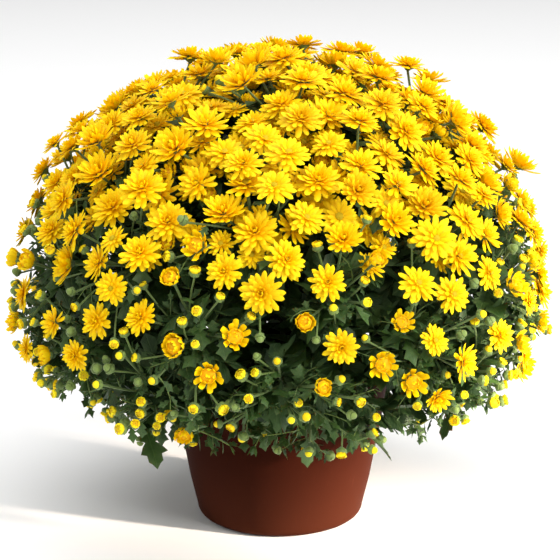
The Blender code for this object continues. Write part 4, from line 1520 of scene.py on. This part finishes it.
class Dresser:
    """Grows the fine flowers, stems and leaves on the plan, and keeps them off each other and off the pot."""

    THICK_STEM = 0.0015
    LEAF_ROOM = 0.0018
    LEAF_TINTS = (0.25, 0.95)
    SMALL_LEAF = 0.014
    HEAD_TINT = 0.10
    HEAD_AGES = (-0.16, 0.20)
    OPEN_WEIGHTS = (5, 4, 4, 2, 3)
    BUD_RADII = (0.0044, 0.0064)
    TIGHT_BUDS = 0.22
    FLOWER_LEAVES = (0.040, 0.020)
    FLOWER_LEAF_PLACES = (0.12, 0.30, 0.50, 0.72)
    BUD_LEAVES = (0.018, 0.012)
    BUD_LEAF_PLACES = (0.35, 0.65)
    TRUNK_LEAVES = (0.056, 0.056)
    SHOOT_LEAVES = (0.054, 0.046)
    SKIRT_LEAVES = (0.040, 0.018)
    SKIRT_LEAF_PLACES = (0.2, 0.32, 0.44, 0.56, 0.68, 0.8, 0.9)
    FILLER_SITES = 470
    FILLER_POLAR = math.radians(70)
    FILLER_CROWDING = 0.75
    FILLER_CHANCE = (math.radians(44), math.radians(68), 1.0, 0.05)
    FILLER_SMALL = math.radians(60)
    FILLER_SIZES = ((Kind.OPEN, 0.0205), (Kind.OPEN, 0.0175), (Kind.OPEN, 0.0145), (Kind.HALF, 0.0105))
    FILLER_DEPTHS = (0.0, 0.007, 0.013, 0.019, 0.025)
    SIDE_BUD_CHANCE = (math.radians(40), math.radians(105), 0.35, 1.5)
    RIM_SHOOTS = 44
    RIM_REACH = (0.132, 0.170)
    RIM_ENDS = (0.122, 0.140)
    RIM_BENDS = (0.215, 0.240)
    RIM_LEAVES = (0.044, 0.020)
    SIDE_SHOOTS = 26
    SIDE_REACH = (0.250, 0.266)
    SIDE_ENDS = (0.145, 0.205)
    SIDE_LEAVES = (0.026, 0.012)
    SIDE_SPURS = ((0.72, 0.4), (0.88, 3.4))
    SITE_STEP = 0.006
    TWIG_SPREAD = math.radians(78)
    TWIG_ROOM = 0.0035
    TWIG_TRIES = 240
    # painted shade: the top band and the inner bands get low tints, so their leaves are darker where shade
    # falls under the heads and deep in the mound; the side and skirt bands are lighter
    BANDS = (
        TwigBand(90, 0, 62, (0.020, 0.036), (0.026, 0.060), tint=0.30),
        TwigBand(330, 56, 100, (0.004, 0.022), (0.026, 0.060), buds=0.16, tint=0.48),
        TwigBand(560, 88, 140, (-0.004, 0.020), (0.026, 0.068), buds=0.24, tint=0.55),
        TwigBand(300, 0, 132, (0.030, 0.060), (0.034, 0.095), tint=0.04, inner=True),
        TwigBand(170, 30, 120, (0.070, 0.110), (0.034, 0.100), tint=0.02, inner=True),
    )

    def __init__(self, plan: PlantPlan, nursery: Nursery) -> None:
        """Takes the plan and the templates, and marks the room of the planned heads."""
        self.plan = plan
        self.nursery = nursery
        self.draw = random.Random(DRESS_SEED + 1)
        self.heads = Room()
        self.sites: list[Site] = []
        self.petals: list[Things] = [[] for _ in plan.sprays]
        self.greens: list[Things] = [[] for _ in plan.sprays]
        self.woods: list[Things] = [[] for _ in plan.branches]
        for spray in plan.sprays:
            for flower in spray.flowers:
                self.heads.add(flower.balls(), "head")
        for branch in plan.branches:
            for bud in branch.buds:
                self.heads.add(bud.balls(), "head")

    def stem(self, path: Path, kind: StemKind, greens: Things, petals: Things) -> None:
        """Grows a stem and notes the places on it that a twig may leave.

        Args:
            path: Points along it.
            kind: How thick it is and how it looks.
            greens: Takes the stem and the twigs.
            petals: Takes the petals of buds on its twigs.
        """
        bender = self.nursery.bender if kind.thick > self.THICK_STEM else self.nursery.thin
        greens.append(bender.stem(path, kind))
        sums = path_sums(path)
        count = max(2, round(sums[-1] / self.SITE_STEP))
        for k in range(count):
            point, axis = Bender.along(path, sums, (k + 0.5) / count)
            self.sites.append(Site(point, axis, greens, petals))

    def head(
        self,
        flower: Flower,
        petals: Things,
        greens: Things,
        blooms: Sequence[Thing] = (),
    ) -> None:
        """Stands a full head, half open head or bud on a flower's place.

        Args:
            flower: Where it stands.
            petals: Takes its petals.
            greens: Takes its cup.
            blooms: Plainer open heads to choose from in place of the full ones.
        """
        turn = self.draw.uniform(0, math.tau)
        side, other = frame_of(flower.normal)
        along = side * math.cos(turn) + other * math.sin(turn)
        matrix = place_matrix(flower.centre, flower.normal, along, flower.radius)
        tint = self.draw.uniform(-self.HEAD_TINT, self.HEAD_TINT)
        age = max(0.0, self.draw.gauss(*self.HEAD_AGES))
        if flower.kind is Kind.OPEN and blooms:
            petals.append(copy_of(self.draw.choice(blooms), matrix, tint=tint, age=age))
            greens.append(copy_of(self.nursery.cup, matrix, tint=0.35))
        elif flower.kind is Kind.OPEN:
            template = self.draw.choices(self.nursery.open, self.OPEN_WEIGHTS)[0]
            petals.append(copy_of(template, matrix, tint=tint, age=age))
            greens.append(copy_of(self.nursery.cup, matrix, tint=0.35))
        elif flower.kind is Kind.HALF:
            template = self.draw.choice(self.nursery.half)
            petals.append(copy_of(template, matrix, tint=tint - 0.05, age=0.5 * age))
            greens.append(copy_of(self.nursery.deep_cup, matrix, tint=0.45))
        else:
            ripe = self.draw.random()
            if ripe < self.TIGHT_BUDS:
                greens.append(copy_of(self.nursery.green_tip, matrix, tint=0.9))
            else:
                template = self.nursery.button if ripe > 2 * self.TIGHT_BUDS else self.nursery.tip
                petals.append(copy_of(template, matrix, tint=3 * tint))
            greens.append(copy_of(self.nursery.bud_cup, matrix, tint=0.6 + 2 * tint))

    def flower_stem(self, flower: Flower, axis: Vector, index: int) -> Path:
        """Grows the stem of a flower, which leaves its spray along the spray's axis."""
        neck = flower.neck()
        straight = neck - flower.foot
        middle = flower.foot.lerp(neck, 0.5)
        bend = middle + (flower.foot + axis * 0.5 * straight.length - middle) * 0.22
        path = bezier(flower.foot - axis * 0.002, bend, neck, 5)
        self.stem(path, FLOWER_STEM, self.greens[index], self.petals[index])
        return path

    def wobble(self) -> Vector:
        """A small random offset for a direction."""
        return Vector([self.draw.uniform(-0.3, 0.3) for _ in range(3)])

    def leaf_fits(self, root: Vector, along: Vector, up: Vector, length: float, margin: float) -> bool:
        """Whether a leaf is clear of the heads and the pot and lies deep enough in the dome."""
        balls = [
            (root + along * share * length - up * drop * length, self.LEAF_ROOM)
            for share, drop in ((0.45, 0.0), (0.72, 0.06), (1.0, 0.18))
        ]
        if min(DOME.depth(point) for point, _ in balls) < margin:
            return False
        return self.heads.is_free(balls) and not POT.holds(balls, 0.002)

    def leaf(
        self, root: Vector, axis: Vector, turn: float, length: float, margin: float, rise: float = 0.55
    ) -> Thing | None:
        """Grows a leaf on a stem.

        Args:
            root: Where on the stem.
            axis: The way that the stem runs.
            turn: Its turn round the stem.
            length: Its length.
            margin: How deep in the dome it has to stay.
            rise: How far it leans along the stem.

        Returns:
            The leaf, or None where there is no room for it.
        """
        along = (turned(axis, turn, rise) - Vector((0, 0, self.draw.uniform(0.05, 0.35)))).normalized()
        up = Vector((0, 0, 1)) - along * along.z
        if up.length < 0.2:
            out = Vector((root.x, root.y, 0.02))
            up = out - along * along.dot(out)
        up = (up.normalized() + self.wobble()).normalized()
        for size in (1.0, 0.75, 0.55):
            if self.leaf_fits(root, along, up, length * size, margin):
                small = length * size < self.SMALL_LEAF
                template = self.nursery.narrow if small else self.draw.choice(self.nursery.leaves)
                width = self.draw.uniform(0.85, 1.15)
                matrix = place_matrix(root, up, along, Vector((width, 1.0, 1.0)) * length * size)
                return copy_of(template, matrix, tint=self.draw.uniform(*self.LEAF_TINTS))
        return None

    def leaves_along(
        self, path: Path, shares: Sequence[float], lengths: Span, margin: float, rise: float = 0.55
    ) -> Things:
        """Grows leaves along a stem, turned round it one after another.

        Args:
            path: Points along the stem.
            shares: Where on it they grow.
            lengths: Their lengths at its start and at its end.
            margin: How deep in the dome they have to stay.
            rise: How far they lean along the stem.

        Returns:
            The leaves.
        """
        sums = path_sums(path)
        turn = self.draw.uniform(0, math.tau)
        grown = []
        for share in shares:
            turn += GOLDEN + self.draw.uniform(-0.4, 0.4)
            root, axis = Bender.along(path, sums, share)
            length = (lengths[0] + (lengths[1] - lengths[0]) * share) * self.draw.uniform(0.8, 1.2)
            for extra in (0.0, 2.1, 4.2):
                piece = self.leaf(root, axis, turn + extra, length, margin, rise)
                if piece:
                    grown.append(piece)
                    break
        return grown

    def margin_at(self, polar: float) -> float:
        """Leaves stay well under the flowers at the top and reach the outline at the skirt."""
        return ramp(polar, math.radians(62), math.radians(100), 0.012, -0.002)

    def dress_spray(self, index: int) -> None:
        """Grows a spray's stalk, its planned flowers and the leaves on their stems."""
        spray = self.plan.sprays[index]
        petals, greens = self.petals[index], self.greens[index]
        end = spray.base + spray.axis * PlantPlan.STALK_LENGTH
        self.stem([spray.base, end], STALK, greens, petals)
        margin = self.margin_at(spray.polar)
        for flower in spray.flowers:
            path = self.flower_stem(flower, spray.axis, index)
            self.head(flower, petals, greens)
            greens += self.leaves_along(path, self.FLOWER_LEAF_PLACES, self.FLOWER_LEAVES, margin)

    def nearest_spray(self, point: Vector) -> int:
        """The spray whose crown is nearest to a point."""
        crowns = [DOME.point(spray.polar, spray.azimuth) for spray in self.plan.sprays]
        return min(range(len(crowns)), key=lambda k: (crowns[k] - point).length)

    def try_extra(self, flower: Flower, index: int) -> bool:
        """Adds a head that the solids leave out, if it and its stem are clear of the others."""
        neck = flower.neck()
        way = neck - flower.foot
        stem = chain(flower.foot + way * 0.25, neck - way * 0.1, 0.0010)
        if not self.heads.is_free(flower.balls()) or not self.heads.is_free(stem):
            return False
        self.heads.add(flower.balls(), "head")
        self.flower_stem(flower, self.plan.sprays[index].axis, index)
        self.head(flower, self.petals[index], self.greens[index], self.nursery.under)
        return True

    def fill_gaps(self) -> int:
        """Sets smaller heads in the gaps between the planned ones, most of them at the top.

        Returns:
            How many were added.
        """
        added = 0
        for polar, azimuth in spread(self.FILLER_SITES, self.FILLER_POLAR, self.FILLER_CROWDING):
            azimuth += 1.7 + self.draw.uniform(-0.02, 0.02)
            if self.draw.random() > ramp(polar, *self.FILLER_CHANCE):
                continue
            surface = DOME.point(polar, azimuth)
            index = self.nearest_spray(surface)
            spray = self.plan.sprays[index]
            foot = spray.base + spray.axis * PlantPlan.STALK_LENGTH
            lean = (surface - foot).normalized() * 0.5 + Vector((0, 0, 0.22))
            normal = (DOME.normal(polar, azimuth) + lean + self.wobble()).normalized()
            added += self.fill_gap(polar, azimuth, normal, foot, index)
        return added

    def fill_gap(self, polar: float, azimuth: float, normal: Vector, foot: Vector, index: int) -> bool:
        """Tries heads from large to small, and nearer and deeper, at one gap."""
        sizes = self.FILLER_SIZES if polar < self.FILLER_SMALL else self.FILLER_SIZES[2:]
        for kind, radius in sizes:
            for depth in self.FILLER_DEPTHS:
                centre = DOME.point(polar, azimuth, depth)
                flower = Flower(kind, centre, normal, radius * self.draw.uniform(0.94, 1.06), 0.0, foot)
                if self.try_extra(flower, index):
                    return True
        return False

    def side_buds(self) -> int:
        """Grows side buds beside the flowers, more of them towards the skirt.

        Returns:
            How many were added.
        """
        added = 0
        for index, spray in enumerate(self.plan.sprays):
            for flower in spray.flowers:
                chance = ramp(spray.polar, *self.SIDE_BUD_CHANCE)
                while self.draw.random() < chance:
                    chance -= 1.0
                    added += self.side_bud(flower, spray, index)
        return added

    def side_bud(self, flower: Flower, spray: Spray, index: int) -> bool:
        """Tries places round a flower for a bud on a side shoot."""
        neck = flower.neck()
        root = flower.foot.lerp(neck, self.draw.uniform(0.35, 0.6))
        side, other = frame_of(flower.normal)
        for _ in range(8):
            turn = self.draw.uniform(0, math.tau)
            reach = flower.radius + self.draw.uniform(0.007, 0.020)
            centre = flower.centre + (side * math.cos(turn) + other * math.sin(turn)) * reach
            centre += flower.normal * self.draw.uniform(-0.006, 0.004)
            if DOME.depth(centre) < -0.004:
                continue
            normal = ((centre - root).normalized() + Vector((0, 0, 0.35))).normalized()
            bud = Flower(Kind.BUD, centre, normal, self.draw.uniform(*self.BUD_RADII), 0.0, root)
            stem = chain(root.lerp(bud.neck(), 0.4), bud.neck(), 0.0008)
            if self.heads.is_free(bud.balls()) and self.heads.is_free(stem) and not POT.holds(stem, 0.002):
                self.heads.add(bud.balls(), "head")
                bend = root.lerp(bud.neck(), 0.5) + (root - spray.base).normalized() * 0.004
                path = bezier(root, bend, bud.neck(), 4)
                greens = self.greens[index]
                greens.append(self.nursery.thin.stem(path, BUD_STEM))
                self.head(bud, self.petals[index], greens)
                greens += self.leaves_along(path, self.BUD_LEAF_PLACES, self.BUD_LEAVES, -0.003)
                return True
        return False

    def dress_branch(self, index: int) -> None:
        """Grows a branch's stem, shoots and skirt shoots, with the planned leaves and more between them."""
        branch = self.plan.branches[index]
        wood, petals = self.woods[index], self.bud_petals(index)
        self.stem(branch.stem[:2], FOOT, wood, petals)
        self.stem(branch.stem[1:], TRUNK, wood, petals)
        count = max(3, round(path_sums(branch.stem[1:])[-1] / 0.010))
        shares = [0.3 + 0.7 * k / count for k in range(count)]
        wood += self.leaves_along(branch.stem[1:], shares, self.TRUNK_LEAVES, 0.03)
        for line in branch.shoots:
            self.stem(line, SHOOT, wood, petals)
            count = max(3, round((line[-1] - line[0]).length / 0.009))
            shares = [(k + 0.7) / count for k in range(count)]
            margin = 0.020 if line[-1].z > 0.3 else 0.004
            wood += self.leaves_along(line, shares, self.SHOOT_LEAVES, margin)
        for line, bud in zip(branch.skirts, branch.buds):
            self.stem(line, SKIRT_SHOOT, wood, petals)
            self.head(bud, petals, wood)
            wood += self.leaves_along(line, self.SKIRT_LEAF_PLACES, self.SKIRT_LEAVES, -0.006)
        for leaf in branch.leaves:
            matrix = place_matrix(leaf.root, leaf.up, leaf.along, leaf.length)
            wood.append(copy_of(self.nursery.large_leaf, matrix, tint=self.draw.uniform(*self.LEAF_TINTS)))

    def bud_petals(self, index: int) -> Things:
        """The petals of a branch's own buds go with the last of its sprays."""
        spray = self.plan.branches[index].sprays[-1]
        return self.petals[self.plan.sprays.index(spray)]

    def rim_shoots(self) -> int:
        """Grows leafy shoots that hang over the pot's rim all round, some with buds at their tips.

        Returns:
            How many were added.
        """
        low = [k for k, b in enumerate(self.plan.branches) if b.stem[-1].z < PlantPlan.SKIRT_BRANCH_Z]
        added = 0
        for count in range(self.RIM_SHOOTS):
            azimuth = math.tau * (count + self.draw.uniform(-0.3, 0.3)) / self.RIM_SHOOTS
            out = Vector((math.cos(azimuth), math.sin(azimuth), 0))
            reach = self.draw.uniform(*self.RIM_REACH)
            drop = self.draw.uniform(-0.012, 0.012)
            end = out * reach + Vector((0, 0, ramp(reach, *self.RIM_REACH, *self.RIM_ENDS) + drop))
            index = min(low, key=lambda k: (self.plan.branches[k].stem[-1] - end).length)
            stem = self.plan.branches[index].stem
            start = stem[2].lerp(stem[-1], self.draw.uniform(0.1, 0.8))
            bend = out * (0.5 * reach + 0.078) + Vector((0, 0, self.draw.uniform(*self.RIM_BENDS)))
            added += self.rim_shoot(bezier(start, bend, end, 7), index)
        return added

    def rim_shoot(self, path: Path, index: int) -> bool:
        """Grows one shoot over the rim, if it is clear of the pot and the heads."""
        balls = [ball for a, b in zip(path[2:], path[3:]) for ball in chain(a, b, 0.0014)]
        if POT.holds(balls, 0.001) or not self.heads.is_free(balls):
            return False
        wood, petals = self.woods[index], self.bud_petals(index)
        self.stem(path, RIM_SHOOT, wood, petals)
        shares = [0.22 + 0.76 * k / 15 for k in range(16)]
        wood += self.leaves_along(path, shares, self.RIM_LEAVES, -0.012, rise=0.4)
        self.end_bud(path[-1], (path[-1] - path[-2]).normalized(), 0.6, petals, wood)
        return True

    def side_shoots(self) -> int:
        """Grows slim shoots with narrow leaves and a few buds that reach out of the mound's lower side.

        Returns:
            How many were added.
        """
        added = 0
        for count in range(self.SIDE_SHOOTS):
            azimuth = math.tau * (count + self.draw.uniform(-0.3, 0.3)) / self.SIDE_SHOOTS
            out = Vector((math.cos(azimuth), math.sin(azimuth), 0))
            end = out * self.draw.uniform(*self.SIDE_REACH)
            end += Vector((0, 0, self.draw.uniform(*self.SIDE_ENDS)))
            index = self.nearest_spray(end)
            spray = self.plan.sprays[index]
            start = spray.base + spray.axis * 0.3 * PlantPlan.STALK_LENGTH
            bend = start.lerp(end, 0.55) - Vector((0, 0, self.draw.uniform(0.004, 0.016)))
            added += self.side_shoot(bezier(start, bend, end, 7), index)
        return added

    def side_shoot(self, path: Path, index: int) -> bool:
        """Grows one shoot out of the side, if it is clear of the heads, with a bud on its end and two by."""
        balls = [ball for a, b in zip(path[2:], path[3:]) for ball in chain(a, b, 0.0012)]
        if POT.holds(balls, 0.001) or not self.heads.is_free(balls):
            return False
        petals, greens = self.petals[index], self.greens[index]
        self.stem(path, SIDE_SHOOT, greens, petals)
        shares = [0.25 + 0.7 * k / 11 for k in range(12)]
        greens += self.leaves_along(path, shares, self.SIDE_LEAVES, -0.03, rise=0.8)
        self.end_bud(path[-1], (path[-1] - path[-2]).normalized(), 1.0, petals, greens)
        for share, turn in self.SIDE_SPURS:
            root, axis = Bender.along(path, path_sums(path), share)
            way = turned(axis, turn + self.draw.uniform(-0.8, 0.8), 0.7)
            tip = root + way * self.draw.uniform(0.009, 0.016)
            greens.append(self.nursery.thin.stem([root, root.lerp(tip, 0.5), tip], SPUR))
            self.end_bud(tip, (tip - root).normalized(), 1.0, petals, greens)
        return True

    def end_bud(
        self, end: Vector, way: Vector, chance: float, petals: Things, greens: Things
    ) -> None:
        """Sets a bud on the end of a shoot or twig, by chance and where it has room."""
        normal = (way + Vector((0, 0, 0.3))).normalized()
        radius = self.draw.uniform(*self.BUD_RADII)
        bud = Flower(Kind.BUD, end + normal * 0.96 * radius, normal, radius, 0.0, end)
        wanted = self.draw.random() < chance
        if wanted and self.heads.is_free(bud.balls()) and not POT.holds(bud.balls(), 0.001):
            self.heads.add(bud.balls(), "head")
            self.head(bud, petals, greens)

    def grow_band(self, band: TwigBand) -> int:
        """Grows the twigs of a band, each from a stem near its end.

        Args:
            band: Where the twigs reach.

        Returns:
            How many were added.
        """
        points = np.array([tuple(site.point) for site in self.sites])
        added = 0
        for polar, azimuth in spread(band.count, math.radians(band.last)):
            polar += self.draw.uniform(-0.03, 0.03)
            azimuth += 0.9 + self.draw.uniform(-0.03, 0.03)
            if polar > math.radians(band.first):
                end = DOME.point(polar, azimuth, self.draw.uniform(*band.depths))
                added += self.grow_twig(end, points, band)
        return added

    def grow_twig(self, end: Vector, points: np.ndarray, band: TwigBand) -> bool:
        """Grows a twig to this end from the nearest stem that it can leave."""
        away = np.linalg.norm(points - np.array(end), axis=1)
        for k in np.argsort(away)[: self.TWIG_TRIES]:
            site = self.sites[k]
            way = end - site.point
            if not band.lengths[0] < way.length < band.lengths[1] or way.angle(site.axis) > self.TWIG_SPREAD:
                continue
            balls = [(site.point.lerp(end, share), self.TWIG_ROOM) for share in (0.5, 0.75, 1.0)]
            if not self.heads.is_free(balls) or POT.holds(balls, 0.003):
                continue
            light = Vector((0.6 * way.x, 0.6 * way.y, 0)) / way.length + Vector((0, 0, 1))
            up = light - way * light.dot(way) / way.length_squared
            matrix = place_matrix(site.point, up, way, way.length)
            # the band's tint carries its painted shade onto the twig
            tint = band.tint + self.draw.uniform(-0.25, 0.25)
            twigs = self.nursery.inner_twigs if band.inner else self.nursery.twigs
            site.greens.append(copy_of(self.draw.choice(twigs), matrix, tint=tint))
            self.end_bud(end, way.normalized(), band.buds, site.petals, site.greens)
            return True
        return False

    def dress(self) -> None:
        """Grows everything, joins it into a few pieces for each node and rides them in place of the nodes."""
        for index in range(len(self.plan.sprays)):
            self.dress_spray(index)
        LOG.info("filler heads %d", self.fill_gaps())
        LOG.info("side buds %d", self.side_buds())
        for index in range(len(self.plan.branches)):
            self.dress_branch(index)
        LOG.info("rim shoots %d", self.rim_shoots())
        LOG.info("side shoots %d", self.side_shoots())
        for band in self.BANDS:
            LOG.info("twigs %d", self.grow_band(band))
        for index, (petals, greens) in enumerate(zip(self.petals, self.greens)):
            node = f"spray_{index + 1:02d}"
            hand_in(join(petals, f"{node}_flowers"), node)
            hand_in(join(greens, f"{node}_stems"), node)
        for index, wood in enumerate(self.woods):
            node = f"branch_{index + 1:02d}"
            hand_in(join(wood, f"{node}_leafy"), node)


@dataclass
class Pot:
    """The nursery pot, turned with a fine profile, with its drain holes cut."""

    sizes: PotSizes = POT
    steps: int = 128
    lip: float = 0.0009
    ring_heights: Sequence[float] = (0.13, 0.10, 0.07, 0.04)

    def profile(self) -> list[tuple[float, float]]:
        """The wall's section, from the inside of the bottom over the rim to the underside."""
        s = self.sizes
        foot = s.height - s.band_height
        turns = [math.radians(15 * k) for k in range(7)]
        corner = [
            (s.base_radius - s.base_round * (1 - math.cos(t)), s.base_round * (1 - math.sin(t))) for t in turns
        ]
        return [
            (0.0, s.wall),
            (s.wall_radius(s.wall) - s.wall - s.base_round / 2, s.wall),
            (s.wall_radius(s.base_round) - s.wall, s.base_round),
            (s.rim_radius - s.wall, s.height - self.lip),
            (s.rim_radius - s.wall + self.lip, s.height),
            (s.rim_radius + s.band_step - self.lip, s.height),
            (s.rim_radius + s.band_step, s.height - self.lip),
            (s.wall_radius(foot) + s.band_step, foot + self.lip),
            (s.wall_radius(foot) + s.band_step - self.lip, foot),
            (s.wall_radius(foot), foot - 0.5 * self.lip),
            *[(s.wall_radius(h), h) for h in self.ring_heights],
            *corner,
            (0.0, 0.0),
        ]

    def build(self) -> None:
        """Models the pot, drills its drain holes and hands it in."""
        piece = Lathe("pot_shell", self.profile(), self.steps).build(PotFinish().material())
        for k in range(self.sizes.drain_holes):
            turn = math.tau * k / self.sizes.drain_holes
            place = (self.sizes.drain_ring * math.cos(turn), self.sizes.drain_ring * math.sin(turn), 0)
            size = {"radius": self.sizes.drain_radius, "depth": 4 * self.sizes.wall}
            bpy.ops.mesh.primitive_cylinder_add(vertices=32, location=place, **size)
            drill = bpy.context.object
            cut = piece.modifiers.new("Drain", "BOOLEAN")
            cut.operation, cut.object, cut.solver = "DIFFERENCE", drill, "EXACT"
            select(piece)
            bpy.ops.object.modifier_apply(modifier=cut.name)
            bpy.data.objects.remove(drill)
        bpy.ops.object.shade_smooth_by_angle(angle=math.radians(30))
        hand_in(piece, "pot")


@dataclass
class Soil:
    """The mounded potting soil, with a lumpy top."""

    sizes: PotSizes = POT
    steps: int = 96
    rings: int = 26
    lump: float = 0.0022
    gap: float = 0.0006

    def build(self) -> None:
        """Models the soil, roughens its top and hands it in."""
        s = self.sizes
        draw = random.Random(DRESS_SEED + 2)
        edge_z = s.soil_top - s.soil_mound
        edge = s.wall_radius(edge_z) - s.wall - self.gap
        top = [
            (edge * k / self.rings, s.soil_top + s.soil_mound * (1 - 2 * (k / self.rings) ** 2))
            for k in range(self.rings + 1)
        ]
        low = [(s.wall_radius(s.base_round) - s.wall - self.gap, s.base_round), (0.0, s.wall + s.fit_gap)]
        piece = Lathe("soil_fill", [*top, *low], self.steps).build(SoilFinish().material())
        for vertex in piece.data.vertices:
            out = math.hypot(vertex.co.x, vertex.co.y)
            if vertex.co.z > edge_z - 0.001 and out < 0.97 * edge:
                vertex.co.z += draw.uniform(-self.lump, self.lump) * (1 - 0.5 * out / edge)
        hand_in(piece, "soil")


@dataclass(frozen=True)
class Lamp:
    """A soft round lamp, aimed at the plant."""

    name: str
    place: tuple[float, float, float]
    size: float
    watts: float
    colour: Colour
    aim: float = 0.2

    def build(self, kind: str = "AREA") -> bpy.types.Light:
        """Hangs the lamp and turns it to its aim.

        Args:
            kind: The type of light.

        Returns:
            The light's data.
        """
        deselect()
        bpy.ops.object.light_add(type=kind, location=self.place)
        lamp = bpy.context.object
        lamp.name = self.name
        lamp.data.energy = self.watts
        lamp.data.color = self.colour
        way = Vector((0, 0, self.aim)) - Vector(self.place)
        lamp.rotation_euler = way.to_track_quat("-Z", "Y").to_euler()
        return lamp.data


@dataclass
class Studio:
    """A pale floor, soft lamps and the camera at the photograph's angle."""

    distance: float = 2.0
    elevation: float = math.radians(15)
    aim: float = 0.243
    frame_width: float = 0.560
    sensor: float = 36.0
    floor_radius: float = 9.0
    surround: float = 0.45
    glow_cone: float = math.radians(7.5)

    SOFT = (
        Lamp("key", (1.55, -1.30, 1.25), 1.2, 40.0, (1.0, 0.98, 0.95)),
        Lamp("fill", (-1.9, -1.3, 1.2), 1.6, 5.0, (0.97, 0.99, 1.0)),
        Lamp("top", (0.3, -0.4, 5.0), 9.0, 370.0, (1.0, 1.0, 1.0)),
    )
    GLOW = Lamp("low_glow", (1.95, -0.80, 0.72), 0.12, 1500.0, (1.0, 0.84, 0.70), aim=0.04)

    def build(self) -> None:
        """Sets up the floor, the lamps, the world and the camera."""
        self.floor()
        self.world()
        for lamp in self.SOFT:
            data = lamp.build()
            data.shape = "DISK"
            data.size = lamp.size
        self.low_glow()
        bpy.context.scene.view_settings.view_transform = "Standard"
        self.camera()

    def floor(self) -> None:
        """A large pale disc under the pot."""
        deselect()
        shape = {"vertices": 96, "radius": self.floor_radius, "fill_type": "NGON"}
        bpy.ops.mesh.primitive_circle_add(location=(0, 0, -POT.fit_gap), **shape)
        disc = bpy.context.object
        bpy.ops.object.transform_apply(location=True, rotation=True, scale=True)
        disc.name = "floor"
        nodes = NodeTree("studio_floor")
        nodes.settle({"Base Color": (0.93, 0.93, 0.93, 1.0), "Roughness": 0.9})
        disc.data.materials.append(nodes.material)

    def world(self) -> None:
        """A plain bright surround."""
        world = bpy.data.worlds.new("studio")
        world.use_nodes = True
        background = world.node_tree.nodes["Background"]
        background.inputs["Color"].default_value = (1.0, 1.0, 1.0, 1.0)
        background.inputs["Strength"].default_value = self.surround
        bpy.context.scene.world = world

    def low_glow(self) -> None:
        """A narrow warm light from low on the right, along the side of the pot."""
        data = self.GLOW.build("SPOT")
        data.spot_size = self.glow_cone
        data.spot_blend = 1.0
        data.shadow_soft_size = self.GLOW.size

    def camera(self) -> None:
        """The camera, level across, at the photograph's height and distance."""
        target = Vector((0, 0, self.aim))
        away = Vector((0, -math.cos(self.elevation), math.sin(self.elevation)))
        deselect()
        bpy.ops.object.camera_add(location=target + away * self.distance)
        eye = bpy.context.object
        eye.rotation_euler = (-away).to_track_quat("-Z", "Y").to_euler()
        eye.data.sensor_width = self.sensor
        eye.data.lens = self.sensor * self.distance / self.frame_width
        eye.data.dof.use_dof = False
        bpy.context.scene.camera = eye


def main() -> None:
    """Builds the scene piece by piece, and logs how much is grown and how many triangles each finished piece
    has.
    """
    logging.basicConfig(level=logging.INFO, format="%(message)s")
    plan = PlantPlan()
    nursery = Nursery()
    Pot().build()
    Soil().build()
    Dresser(plan, nursery).dress()
    nursery.clear()
    Studio().build()


if __name__ == "__main__":
    main()
